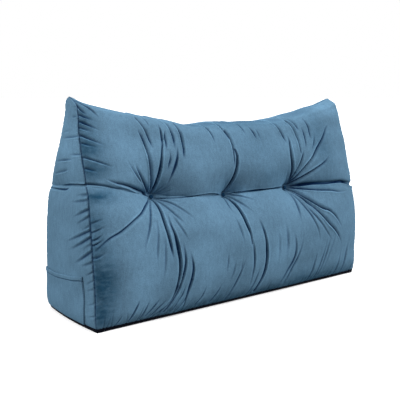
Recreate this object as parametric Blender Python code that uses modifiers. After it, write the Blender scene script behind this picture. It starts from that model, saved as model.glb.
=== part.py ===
# Headboard wedge cushion: a stuffed velvet wedge with a belt seam, tufts, eared corners and a side pocket.
#
# Frame: metres, +Z up, +X along the cushion, the leaning side faces -Y, the base lies on z = 0.
import math
from collections import namedtuple

import bmesh
import bpy
import numpy as np
from mathutils import Vector

# Driving dimensions
HALF_LENGTH = 0.450
EAR_HEIGHT = 0.545
FRONT_CROWN = 0.042
BACK_CROWN = 0.030
SIDE_CROWN = 0.009
TUFT_DEPTH = 0.046
TUFT_REACH = 0.125
TUFT_SEAT = 0.010
BACK_TUFT_SHARE = 0.45
BELT_REACH = 0.095
BELT_NOTCH = 0.006
BELT_NOTCH_REACH = 0.022
PUFF_POWER = 0.72
BASE_HOLD = 0.6
BASE_HOLD_REACH = 0.03
SIDE_BELT_DEPTH = 0.0105
SIDE_BELT_REACH = 0.05
SIDE_BASE_BOW = 0.008
SIDE_BASE_BOW_REACH = 0.12
FORWARD_POWER = 12
POCKET_THICKNESS = 0.0018
POCKET_FOOT_SHARE = 0.05
POCKET_FRONT_SHARE = 0.145
POCKET_TOP_FRONT = 0.132
POCKET_TOP_BACK = 0.113
SURFACE_GAP = 0.0005
BUTTON_RADIUS = 0.0055
BUTTON_THICKNESS = 0.0045
BUTTON_SIDES = 14
BUTTON_RINGS = 8

# The seat that a tuft's button pulls flat, as a share of the length and of the rise, and the folds' fading
SEAT_SHARE = 0.0075
SEAT_RISE = 0.0125
FOLD_FADE_START = 0.007
FOLD_FADE_RUN = 0.035

# How finely the cloth is divided: the columns and rows beside a seam are closer together than the rest
COLUMNS = 60
ROWS = 34
DEPTH_ROWS = 12
CLOSE_STEPS = 3
CLOSE_COLUMNS_SHARE = 0.03
CLOSE_ROWS_SHARE = 0.05
BELT_ROW = 19
POCKET_FIRST_DEPTH_ROW = 2
POCKET_TOP_ROW = 8

# The sewn outline of a side: how far up the seam each row lies, where its front and back seams run there,
# and how far the seam stands out past the base's end.
SeamRow = namedtuple("SeamRow", "rise front_y front_z back_y back_z overhang")
SEAM_ROWS = (
    SeamRow(0.00, -0.133, 0.000, 0.119, 0.000, 0.003),
    SeamRow(0.02, -0.134, 0.010, 0.122, 0.010, 0.006),
    SeamRow(0.16, -0.134, 0.089, 0.122, 0.089, 0.008),
    SeamRow(0.32, -0.130, 0.178, 0.115, 0.178, 0.010),
    SeamRow(0.46, -0.119, 0.256, 0.108, 0.256, 0.008),
    SeamRow(0.57, -0.107, 0.317, 0.098, 0.314, 0.005),
    SeamRow(0.62, -0.099, 0.345, 0.083, 0.340, 0.004),
    SeamRow(0.72, -0.084, 0.401, 0.052, 0.399, 0.005),
    SeamRow(0.84, -0.064, 0.466, 0.023, 0.462, 0.002),
    SeamRow(0.93, -0.049, 0.515, 0.013, 0.511, -0.002),
    SeamRow(0.97, -0.036, 0.532, 0.012, 0.531, -0.004),
    SeamRow(1.00, -0.003, EAR_HEIGHT, -0.003, EAR_HEIGHT, -0.005),
)

# The top edge's height along the cushion, and how far it is drawn forward
TopRow = namedtuple("TopRow", "x height forward")
TOP_ROWS = (
    TopRow(-0.450, 0.545, 0),
    TopRow(-0.405, 0.531, 0),
    TopRow(-0.325, 0.513, 0),
    TopRow(-0.270, 0.502, 0),
    TopRow(-0.220, 0.493, 0),
    TopRow(-0.183, 0.486, 0),
    TopRow(-0.125, 0.473, 0),
    TopRow(-0.066, 0.474, 0),
    TopRow(-0.024, 0.478, 0),
    TopRow(0.020, 0.477, 0),
    TopRow(0.100, 0.477, 0),
    TopRow(0.175, 0.478, 0),
    TopRow(0.225, 0.484, 0),
    TopRow(0.275, 0.495, 0),
    TopRow(0.325, 0.504, 0.001),
    TopRow(0.380, 0.519, 0.006),
    TopRow(0.405, 0.526, 0.010),
    TopRow(0.432, 0.536, 0.016),
    TopRow(0.450, 0.540, 0.019),
)

# The belt seam round the cushion: its rise on the front and the back, and its depth below the puffs
BeltRow = namedtuple("BeltRow", "x front_rise back_rise depth")
BELT_ROWS = (
    BeltRow(-0.46, 0.620, 0.600, 0.008),
    BeltRow(-0.36, 0.607, 0.580, 0.026),
    BeltRow(-0.26, 0.588, 0.565, 0.036),
    BeltRow(-0.14, 0.582, 0.560, 0.032),
    BeltRow(-0.02, 0.575, 0.560, 0.036),
    BeltRow(0.10, 0.577, 0.555, 0.032),
    BeltRow(0.21, 0.574, 0.550, 0.036),
    BeltRow(0.34, 0.554, 0.545, 0.026),
    BeltRow(0.46, 0.510, 0.540, 0.008),
)
TUFT_X = (-0.258, -0.023, 0.211)

# How far the panels lean back at each rise, in degrees, which is the way the stuffing pushes them.
LeanRow = namedtuple("LeanRow", "rise front back")
LEAN_ROWS = (
    LeanRow(0.00, -6, -6),
    LeanRow(0.30, 3, 3),
    LeanRow(0.57, 12, 16),
    LeanRow(0.85, 24, 22),
    LeanRow(1.00, 40, 30),
)

# The main folds of the front: each one's path in x and height, its depth at its start and end, and its width
Fold = namedtuple("Fold", "path start_depth end_depth width")
FRONT_FOLDS = (
    # Above the left tuft
    Fold(((-0.262, 0.307), (-0.316, 0.319), (-0.375, 0.341), (-0.410, 0.352)), 0.013, 0.004, 0.014),
    Fold(((-0.262, 0.315), (-0.278, 0.335), (-0.290, 0.403), (-0.305, 0.460)), 0.015, 0.005, 0.014),
    Fold(((-0.258, 0.315), (-0.257, 0.367), (-0.238, 0.419)), 0.015, 0.005, 0.014),
    Fold(((-0.186, 0.376), (-0.178, 0.408), (-0.178, 0.435), (-0.181, 0.456)), 0.005, 0.014, 0.014),
    # Above the middle tuft
    Fold(((-0.024, 0.302), (-0.012, 0.354), (-0.018, 0.400), (-0.040, 0.470)), 0.018, 0.013, 0.015),
    # Above the right tuft
    Fold(((0.186, 0.385), (0.173, 0.433), (0.160, 0.454), (0.134, 0.469)), 0.006, 0.013, 0.014),
    Fold(((0.207, 0.304), (0.190, 0.342), (0.192, 0.390)), 0.010, 0.006, 0.014),
    Fold(((0.235, 0.369), (0.233, 0.428), (0.198, 0.475)), 0.004, 0.011, 0.014),
    Fold(((0.214, 0.301), (0.250, 0.335), (0.307, 0.389), (0.338, 0.419)), 0.015, 0.004, 0.014),
    Fold(((0.218, 0.299), (0.266, 0.321), (0.350, 0.352)), 0.013, 0.003, 0.014),
    # Below the left tuft
    Fold(((-0.264, 0.304), (-0.328, 0.270), (-0.393, 0.234), (-0.455, 0.198)), 0.013, 0.005, 0.014),
    Fold(((-0.258, 0.294), (-0.266, 0.223), (-0.240, 0.132), (-0.258, 0.041)), 0.015, 0.010, 0.014),
    Fold(((-0.212, 0.172), (-0.194, 0.105), (-0.218, 0.041)), 0.005, 0.011, 0.013),
    # Below the middle tuft
    Fold(((-0.018, 0.286), (-0.018, 0.244), (-0.009, 0.190), (-0.010, 0.160)), 0.015, 0.004, 0.014),
    Fold(((0.049, 0.177), (0.049, 0.084), (0.020, 0.030)), 0.005, 0.011, 0.014),
    # Below the right tuft
    Fold(((0.215, 0.290), (0.269, 0.231), (0.366, 0.158)), 0.015, 0.004, 0.014),
    Fold(((0.236, 0.238), (0.300, 0.178), (0.370, 0.099)), 0.005, 0.008, 0.014),
    Fold(((0.172, 0.113), (0.150, 0.077), (0.130, 0.045)), 0.004, 0.010, 0.014),
)

# A fold's ridges, against its depth and its width
RIDGE_SHARE = 0.3
RIDGE_PLACE = 2.1

# The folds round each tuft of the back: the way each one runs, in degrees, and its depth at the tuft
BACK_FOLD_TURNS = (20, 62, 98, 150, 205, 248, 285, 335)
BACK_FOLD_DEPTHS = (0.008, 0.012, 0.010, 0.007, 0.009, 0.012, 0.010, 0.008)
BACK_FOLD_END_DEPTH = 0.003
BACK_FOLD_TURN_EACH_TUFT = 9
BACK_FOLD_LENGTH = 0.15
BACK_FOLD_WIDTH = 0.016

VELVET_BLUE = (0.105, 0.215, 0.310)
KNOT_BLUE = (0.085, 0.180, 0.270)


def curve(places, values, at):
    """A smooth curve through a table's rows, whose slope at each row comes from its neighbours."""
    places = np.asarray(places, float)
    values = np.asarray(values, float)
    steps = np.diff(places)
    chords = np.diff(values) / steps
    inner = (chords[:-1] * steps[1:] + chords[1:] * steps[:-1]) / (steps[:-1] + steps[1:])
    slopes = np.concatenate([chords[:1], inner, chords[-1:]])
    at = np.clip(np.asarray(at, float), places[0], places[-1])
    row = np.clip(np.searchsorted(places, at, side="right") - 1, 0, len(steps) - 1)
    u = (at - places[row]) / steps[row]
    reach = steps[row]
    return (
        values[row] * (2 * u**3 - 3 * u**2 + 1)
        + slopes[row] * reach * (u**3 - 2 * u**2 + u)
        + values[row + 1] * (3 * u**2 - 2 * u**3)
        + slopes[row + 1] * reach * (u**3 - u**2)
    )


def table(rows, key, column, at):
    return curve([getattr(row, key) for row in rows], [getattr(row, column) for row in rows], at)


def crown(share):
    """A round profile across a panel: 0 at both seams and 1 in the middle."""
    return np.sqrt(np.clip(1 - (2 * share - 1) ** 2, 0, 1))


def swell(share, rise):
    """How far a panel swells: 0 at its seams, 1 in its middle. The base holds it in near the floor."""
    held = 1 - BASE_HOLD * np.exp(-rise / BASE_HOLD_REACH)
    return crown(share) ** 0.8 * crown(rise) ** 0.9 * held


def trough(distance, reach, power):
    """The hollow between two puffs: 1 at the stitch, 0 from reach on."""
    near = 1 - np.clip(distance / reach, 0, 1)
    return 1 - (1 - near**2) ** power


def base_bow(r, rise):
    """How far a side panel stands out at its foot, between the base's corners."""
    return SIDE_BASE_BOW * 4 * r * (1 - r) * np.exp(-rise / SIDE_BASE_BOW_REACH)


def seam_point(edge, rise):
    """A point of a side seam at x = +half length: edge is front or back."""
    y = table(SEAM_ROWS, "rise", edge + "_y", rise)
    z = table(SEAM_ROWS, "rise", edge + "_z", rise)
    x = HALF_LENGTH + table(SEAM_ROWS, "rise", "overhang", rise)
    return x, y, z


def belt_rise(edge, x):
    return table(BELT_ROWS, "x", edge + "_rise", x)


def spread_columns(u):
    """Share of the length at each column: close together at the ends, with a column on each tuft."""
    places = [0, CLOSE_STEPS / COLUMNS]
    shares = [0, CLOSE_COLUMNS_SHARE]
    for x in TUFT_X:
        share = 0.5 + x / (2 * HALF_LENGTH)
        column = round(COLUMNS * share)
        places += [(column - 1) / COLUMNS, column / COLUMNS, (column + 1) / COLUMNS]
        shares += [share - SEAT_SHARE, share, share + SEAT_SHARE]
    places += [1 - CLOSE_STEPS / COLUMNS, 1]
    shares += [1 - CLOSE_COLUMNS_SHARE, 1]
    return np.interp(u, places, shares)


def spread_rows(v, belt):
    """Rise at each row: close together at the seams, with a row on the belt."""
    ends = CLOSE_STEPS / ROWS
    middle = BELT_ROW / ROWS
    beside = 1 / ROWS
    at_seams = np.clip(v / ends, 0, 1) + np.clip((v - 1 + ends) / ends, 0, 1)
    below = np.clip((v - ends) / (middle - beside - ends), 0, 1)
    at_belt = np.clip((v - middle + beside) / (2 * beside), 0, 1)
    above = np.clip((v - middle - beside) / (1 - ends - middle - beside), 0, 1)
    return (
        CLOSE_ROWS_SHARE * at_seams
        + (belt - SEAT_RISE - CLOSE_ROWS_SHARE) * below
        + 2 * SEAT_RISE * at_belt
        + (1 - CLOSE_ROWS_SHARE - belt - SEAT_RISE) * above
    )


def spread_depth(r):
    """Share of the depth at each row from front to back, with one row on the pocket's front edge."""
    return np.interp(r, (0, POCKET_FIRST_DEPTH_ROW / DEPTH_ROWS, 1), (0, POCKET_FRONT_SHARE, 1))


def fold_depth(folds, x, z):
    """How deep the folds press a panel in at x and height z: soft troughs with a low ridge on each side."""
    troughs = np.zeros(np.shape(x))
    ridges = np.zeros(np.shape(x))
    for fold in folds:
        ends = np.linspace(0, 1, len(fold.path))
        along = np.linspace(0, 1, 4 * len(fold.path))
        path_x = curve(ends, [point[0] for point in fold.path], along)
        path_z = curve(ends, [point[1] for point in fold.path], along)
        nearest = np.full(np.shape(x), np.inf)
        place = np.zeros(np.shape(x))
        for i in range(len(along) - 1):
            run_x = path_x[i + 1] - path_x[i]
            run_z = path_z[i + 1] - path_z[i]
            share = ((x - path_x[i]) * run_x + (z - path_z[i]) * run_z) / (run_x**2 + run_z**2)
            share = np.clip(share, 0, 1)
            distance = np.hypot(x - path_x[i] - share * run_x, z - path_z[i] - share * run_z)
            closer = distance < nearest
            nearest = np.where(closer, distance, nearest)
            place = np.where(closer, along[i] + share * (along[i + 1] - along[i]), place)
        depth = fold.start_depth + (fold.end_depth - fold.start_depth) * place
        off = nearest / fold.width
        troughs += (depth * np.exp(-(off**1.5))) ** 4
        ridges += (depth * RIDGE_SHARE * np.exp(-((off - RIDGE_PLACE) ** 2))) ** 4
    return troughs**0.25 - ridges**0.25


def tuft_height(edge, x):
    return face_base(edge, np.array(0.5 + x / (2 * HALF_LENGTH)), belt_rise(edge, x))[2]


def back_folds():
    """Folds that run out from each tuft of the back, as the cloth gathers there."""
    folds = []
    for tuft, x in enumerate(TUFT_X):
        z = float(tuft_height("back", x))
        for turn, depth in zip(BACK_FOLD_TURNS, BACK_FOLD_DEPTHS):
            angle = math.radians(turn + BACK_FOLD_TURN_EACH_TUFT * tuft)
            end = (x + BACK_FOLD_LENGTH * math.cos(angle), z + BACK_FOLD_LENGTH * math.sin(angle))
            middle = ((x + end[0]) / 2, (z + end[1]) / 2)
            folds.append(Fold(((x, z), middle, end), depth, BACK_FOLD_END_DEPTH, BACK_FOLD_WIDTH))
    return folds


def face_base(edge, s, rise):
    """The flat-stretched front or back panel between its seams."""
    across = 2 * s - 1
    half, y, z = seam_point(edge, rise)
    drop = EAR_HEIGHT - table(TOP_ROWS, "x", "height", across * HALF_LENGTH)
    forward = table(TOP_ROWS, "x", "forward", across * HALF_LENGTH)
    return across * half, y - forward * rise**FORWARD_POWER, z - drop * rise**1.5


def face_point(edge, s, rise, folds):
    """The stuffed front or back panel, with its crown, belt, tufts and folds."""
    x, y, z = face_base(edge, s, rise)
    outward = -1 if edge == "front" else 1
    share = 1 if edge == "front" else BACK_TUFT_SHARE
    height = FRONT_CROWN if edge == "front" else BACK_CROWN
    inside = crown(s) ** 0.5 * crown(rise)
    from_belt = np.abs(z - face_base(edge, s, belt_rise(edge, x))[2])
    loose = np.ones(np.shape(x))
    well = np.zeros(np.shape(x))
    for tuft_x in TUFT_X:
        away = np.hypot(x - tuft_x, z - tuft_height(edge, tuft_x))
        well = well + TUFT_DEPTH * trough(away - TUFT_SEAT, TUFT_REACH, PUFF_POWER)
        loose = loose * np.clip((away - FOLD_FADE_START) / FOLD_FADE_RUN, 0, 1)
    seat = TUFT_SEAT * (1 - loose)
    belt = trough(from_belt - seat, BELT_REACH, PUFF_POWER)
    well = share * (well + table(BELT_ROWS, "x", "depth", x) * belt)
    notch = BELT_NOTCH * trough(from_belt, BELT_NOTCH_REACH, PUFF_POWER) * (1 - crown(s) ** 0.5)
    hold = loose * np.clip(4 * crown(s) * crown(rise), 0, 1)
    push = height * swell(s, rise) - well * inside - notch - hold * fold_depth(folds, x, z)
    lean = np.radians(table(LEAN_ROWS, "rise", edge, rise))
    return x, y + outward * push * np.cos(lean), z + push * np.sin(lean)


def front_place(u, v):
    s = spread_columns(u)
    belt = belt_rise("front", (2 * s - 1) * HALF_LENGTH)
    return face_point("front", s, spread_rows(v, belt), FRONT_FOLDS)


def back_place(u, v):
    s = spread_columns(u)
    belt = belt_rise("back", (2 * s - 1) * HALF_LENGTH)
    return face_point("back", s, spread_rows(v, belt), back_folds())


def side_place(end, r, v):
    """The side panel at the end -1 or 1, from the front seam (r = 0) to the back seam (r = 1)."""
    r = spread_depth(r)
    s = np.full(np.shape(v), 0.5 + end / 2)
    front_belt = belt_rise("front", end * HALF_LENGTH)
    back_belt = belt_rise("back", end * HALF_LENGTH)
    rise = spread_rows(v, front_belt)
    front = face_point("front", s, rise, ())
    back = face_point("back", s, spread_rows(v, back_belt), ())
    x, y, z = (a + (b - a) * r for a, b in zip(front, back))
    belt_z = seam_point("front", front_belt)[2] * (1 - r) + seam_point("back", back_belt)[2] * r
    well = SIDE_BELT_DEPTH * trough(np.abs(z - belt_z), SIDE_BELT_REACH, PUFF_POWER) * crown(r)
    return x + end * (SIDE_CROWN * swell(r, rise) + base_bow(r, rise) - well), y, z


def base_place(u, r):
    s = spread_columns(u)
    r = spread_depth(r)
    half, front_y, _ = seam_point("front", 0.0)
    back_y = seam_point("back", 0.0)[1]
    return (2 * s - 1) * (half + base_bow(r, 0.0)), front_y + (back_y - front_y) * r, np.zeros(np.shape(u))


def add_panel(mesh, across, up, place, flip):
    """One cloth panel: a grid whose points are moved to place(u, v)."""
    made = bmesh.ops.create_grid(mesh, x_segments=across, y_segments=up, size=0.5)
    verts = made["verts"]
    u = np.array([vert.co.x + 0.5 for vert in verts])
    v = np.array([vert.co.y + 0.5 for vert in verts])
    for vert, x, y, z in zip(verts, *np.broadcast_arrays(*place(u, v))):
        vert.co = (x, y, z)
    if flip:
        faces = {face for vert in verts for face in vert.link_faces}
        bmesh.ops.reverse_faces(mesh, faces=list(faces))


def add_object(name, mesh, material, collection):
    data = bpy.data.meshes.new(name)
    mesh.to_mesh(data)
    mesh.free()
    data.materials.append(material)
    data.shade_smooth()
    data.set_sharp_from_angle(angle=math.radians(50))
    piece = bpy.data.objects.new(name, data)
    collection.objects.link(piece)
    return piece


def add_cushion(material, collection):
    """The stuffed wedge: five panels sewn edge to edge into one closed body."""
    mesh = bmesh.new()
    add_panel(mesh, COLUMNS, ROWS, front_place, False)
    add_panel(mesh, COLUMNS, ROWS, back_place, True)
    add_panel(mesh, COLUMNS, DEPTH_ROWS, base_place, True)
    add_panel(mesh, DEPTH_ROWS, ROWS, lambda r, v: side_place(-1, r, v), True)
    add_panel(mesh, DEPTH_ROWS, ROWS, lambda r, v: side_place(1, r, v), False)
    bmesh.ops.remove_doubles(mesh, verts=mesh.verts, dist=1e-5)
    bmesh.ops.recalc_face_normals(mesh, faces=mesh.faces)
    return add_object("cushion", mesh, material, collection)


def pocket_place(u, v):
    """The pocket follows the left side panel's grid lines, a little off its cloth. Its mouth slopes."""
    first = POCKET_FIRST_DEPTH_ROW / DEPTH_ROWS
    r = first + (1 - first) * u
    row = np.maximum(v, POCKET_FOOT_SHARE) * POCKET_TOP_ROW
    _, _, lower = side_place(-1, r, np.full(np.shape(r), (POCKET_TOP_ROW - 1) / ROWS))
    _, _, upper = side_place(-1, r, np.full(np.shape(r), POCKET_TOP_ROW / ROWS))
    top = POCKET_TOP_FRONT + (POCKET_TOP_BACK - POCKET_TOP_FRONT) * u
    slope = (top - upper) / (upper - lower)
    x, y, z = side_place(-1, r, (row + slope * np.clip(row - POCKET_TOP_ROW + 1, 0, 1)) / ROWS)
    return x - SURFACE_GAP, y, z


def add_pocket(material, collection):
    """The side pocket: a flat cloth patch on the left side panel."""
    mesh = bmesh.new()
    add_panel(mesh, DEPTH_ROWS - POCKET_FIRST_DEPTH_ROW, POCKET_TOP_ROW, pocket_place, True)
    pocket = add_object("side_pocket", mesh, material, collection)
    thicken = pocket.modifiers.new("Cloth", "SOLIDIFY")
    thicken.thickness = POCKET_THICKNESS
    thicken.offset = 1.0
    return pocket


def add_button(number, x, material, collection):
    """A covered tufting button, seated flat in the bottom of its tuft."""
    rise = belt_rise("front", x)
    s = np.full(2, 0.5 + x / (2 * HALF_LENGTH))
    _, y, z = face_point("front", s, np.array([rise - SEAT_RISE, rise + SEAT_RISE]), FRONT_FOLDS)
    lean = math.atan2(y[1] - y[0], z[1] - z[0])
    off = BUTTON_THICKNESS / 2 + SURFACE_GAP
    mesh = bmesh.new()
    bmesh.ops.create_uvsphere(mesh, u_segments=BUTTON_SIDES, v_segments=BUTTON_RINGS, radius=BUTTON_RADIUS)
    bmesh.ops.scale(mesh, vec=(1, 1, BUTTON_THICKNESS / (2 * BUTTON_RADIUS)), verts=mesh.verts)
    button = add_object(f"tuft_button_{number}", mesh, material, collection)
    button.location = (x, y.mean() - off * math.cos(lean), z.mean() + off * math.sin(lean))
    button.rotation_euler = (math.radians(90) - lean, 0, 0)
    return button


def cloth_material(name, color, roughness):
    material = bpy.data.materials.new(name)
    material.use_nodes = True
    shader = material.node_tree.nodes["Principled BSDF"]
    shader.inputs["Base Color"].default_value = (*color, 1)
    shader.inputs["Roughness"].default_value = roughness
    shader.inputs["Metallic"].default_value = 0
    return material


def centre_on_origin(pieces):
    """Moves the whole cushion so that its box is centred over the origin."""
    bpy.context.view_layer.update()
    graph = bpy.context.evaluated_depsgraph_get()
    corners = []
    for piece in pieces:
        whole = piece.evaluated_get(graph)
        corners += [whole.matrix_world @ Vector(corner) for corner in whole.bound_box]
    for axis in (0, 1):
        places = [corner[axis] for corner in corners]
        for piece in pieces:
            piece.location[axis] -= (min(places) + max(places)) / 2


def main():
    for old in list(bpy.data.objects):
        bpy.data.objects.remove(old)
    collection = bpy.data.collections.new("headboard_wedge_cushion")
    bpy.context.scene.collection.children.link(collection)
    pieces = [
        add_cushion(cloth_material("velvet", VELVET_BLUE, 0.9), collection),
        add_pocket(cloth_material("pocket velvet", VELVET_BLUE, 0.9), collection),
    ]
    for number, x in enumerate(TUFT_X, start=1):
        knot = cloth_material(f"button velvet {number}", KNOT_BLUE, 0.85)
        pieces.append(add_button(number, x, knot, collection))
    centre_on_origin(pieces)


main()
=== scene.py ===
# Headboard wedge cushion: stuffed blue velvet with a belt seam, buttoned tufts, eared corners and a pocket.
#
# Metres, +Z up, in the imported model's frame: +X along the cushion, -Y on its leaning side, z = 0 its floor.
import math
import random
from collections import namedtuple

import bmesh
import bpy
import numpy as np
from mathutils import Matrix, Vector
from mathutils.bvhtree import BVHTree


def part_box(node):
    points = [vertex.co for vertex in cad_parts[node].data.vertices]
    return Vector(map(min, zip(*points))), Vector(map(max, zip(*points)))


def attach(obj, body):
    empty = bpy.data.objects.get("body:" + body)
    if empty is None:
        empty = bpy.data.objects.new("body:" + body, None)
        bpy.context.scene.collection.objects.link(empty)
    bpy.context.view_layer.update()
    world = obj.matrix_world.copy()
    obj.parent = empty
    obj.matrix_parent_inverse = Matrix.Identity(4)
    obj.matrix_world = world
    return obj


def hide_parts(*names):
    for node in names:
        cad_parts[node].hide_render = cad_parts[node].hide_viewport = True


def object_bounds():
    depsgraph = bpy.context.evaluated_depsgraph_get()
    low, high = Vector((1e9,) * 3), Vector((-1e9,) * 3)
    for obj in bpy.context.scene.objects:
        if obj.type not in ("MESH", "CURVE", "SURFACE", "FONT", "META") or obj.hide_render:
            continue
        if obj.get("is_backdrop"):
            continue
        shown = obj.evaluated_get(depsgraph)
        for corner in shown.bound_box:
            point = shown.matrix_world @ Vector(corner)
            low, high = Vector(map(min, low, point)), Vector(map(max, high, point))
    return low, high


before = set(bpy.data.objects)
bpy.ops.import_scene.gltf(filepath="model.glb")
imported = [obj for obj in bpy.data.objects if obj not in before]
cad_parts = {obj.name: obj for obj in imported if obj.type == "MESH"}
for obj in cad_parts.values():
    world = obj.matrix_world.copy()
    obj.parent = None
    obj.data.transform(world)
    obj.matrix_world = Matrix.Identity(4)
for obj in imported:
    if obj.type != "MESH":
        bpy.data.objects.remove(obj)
cad_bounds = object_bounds()
MM = 0.001

# The front and the back: which way each faces, how far it swells, and how much of the tufts' and the belt's
# depth it has
Face = namedtuple("Face", "outward crown depth_share")
FACES = {"front": Face(-1, 0.042, 1), "back": Face(1, 0.030, 0.45)}

# The cushion's form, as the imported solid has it, but with its ears lifted a little more
HALF_LENGTH = 0.450
EAR_HEIGHT = 0.545
EAR_LIFT = 0.0045
EAR_LIFT_POWER = 20
EAR_LIFT_REACH = 0.04
SWELL_ACROSS = 0.8
SWELL_UP = 0.9
INSIDE_POWER = 0.5
TUFT_X = (-0.258, -0.023, 0.211)
TUFT_DEPTH = 0.046
TUFT_REACH = 0.125
TUFT_SEAT = 0.010
SEAT_START = 0.007
SEAT_RUN = 0.035
BELT_REACH = 0.095
BELT_NOTCH = 0.006
BELT_NOTCH_REACH = 0.022
PUFF_POWER = 0.72
SIDE_CROWN = 0.009
SIDE_BELT_DEPTH = 0.0105
SIDE_BELT_REACH = 0.05
SIDE_BASE_BOW = 0.008
SIDE_BASE_BOW_REACH = 0.12
BASE_HOLD = 0.6
BASE_HOLD_REACH = 0.03
DROP_POWER = 1.5
FORWARD_POWER = 12

# The sewn outline of a side: how far up the seam each row lies, where its front and back seams run there,
# and how far the seam stands out past the base's end
SeamRow = namedtuple("SeamRow", "rise front_y front_z back_y back_z overhang")
SEAM_ROWS = [SeamRow(*row) for row in (
    (0.00, -0.133, 0.000, 0.119, 0.000, 0.003),
    (0.02, -0.134, 0.010, 0.122, 0.010, 0.006),
    (0.16, -0.134, 0.089, 0.122, 0.089, 0.008),
    (0.32, -0.130, 0.178, 0.115, 0.178, 0.010),
    (0.46, -0.119, 0.256, 0.108, 0.256, 0.008),
    (0.57, -0.107, 0.317, 0.098, 0.314, 0.005),
    (0.62, -0.099, 0.345, 0.083, 0.340, 0.004),
    (0.72, -0.084, 0.401, 0.052, 0.399, 0.005),
    (0.84, -0.064, 0.466, 0.023, 0.462, 0.002),
    (0.93, -0.049, 0.515, 0.014, 0.516, -0.004),
    (0.97, -0.036, 0.532, 0.014, 0.537, -0.006),
    (1.00, -0.003, EAR_HEIGHT, -0.003, EAR_HEIGHT, -0.007),
)]

# The top edge's height along the cushion, and how far it is drawn forward
TopRow = namedtuple("TopRow", "x height forward")
TOP_ROWS = [TopRow(*row) for row in (
    (-0.450, 0.545, 0),
    (-0.405, 0.531, 0),
    (-0.325, 0.513, 0),
    (-0.270, 0.502, 0),
    (-0.220, 0.493, 0),
    (-0.183, 0.486, 0),
    (-0.125, 0.473, 0),
    (-0.066, 0.474, 0),
    (-0.024, 0.478, 0),
    (0.020, 0.477, 0),
    (0.100, 0.477, 0),
    (0.175, 0.478, 0),
    (0.225, 0.484, 0),
    (0.275, 0.495, 0),
    (0.325, 0.504, 0.001),
    (0.380, 0.519, 0.006),
    (0.405, 0.526, 0.010),
    (0.432, 0.536, 0.016),
    (0.450, 0.540, 0.019),
)]

# The belt seam round the cushion: its rise on the front and the back, and its depth below the puffs
BeltRow = namedtuple("BeltRow", "x front_rise back_rise depth")
BELT_ROWS = [BeltRow(*row) for row in (
    (-0.46, 0.620, 0.600, 0.008),
    (-0.36, 0.607, 0.580, 0.026),
    (-0.26, 0.588, 0.565, 0.036),
    (-0.14, 0.582, 0.560, 0.032),
    (-0.02, 0.575, 0.560, 0.036),
    (0.10, 0.577, 0.555, 0.032),
    (0.21, 0.574, 0.550, 0.036),
    (0.34, 0.554, 0.545, 0.026),
    (0.46, 0.510, 0.540, 0.008),
)]

# How far the panels lean back at each rise, in degrees, which is the way the stuffing pushes them
LeanRow = namedtuple("LeanRow", "rise front back")
LEAN_ROWS = [LeanRow(*row) for row in (
    (0.00, -6, -6),
    (0.30, 3, 3),
    (0.57, 12, 16),
    (0.85, 24, 22),
    (1.00, 40, 30),
)]

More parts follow.
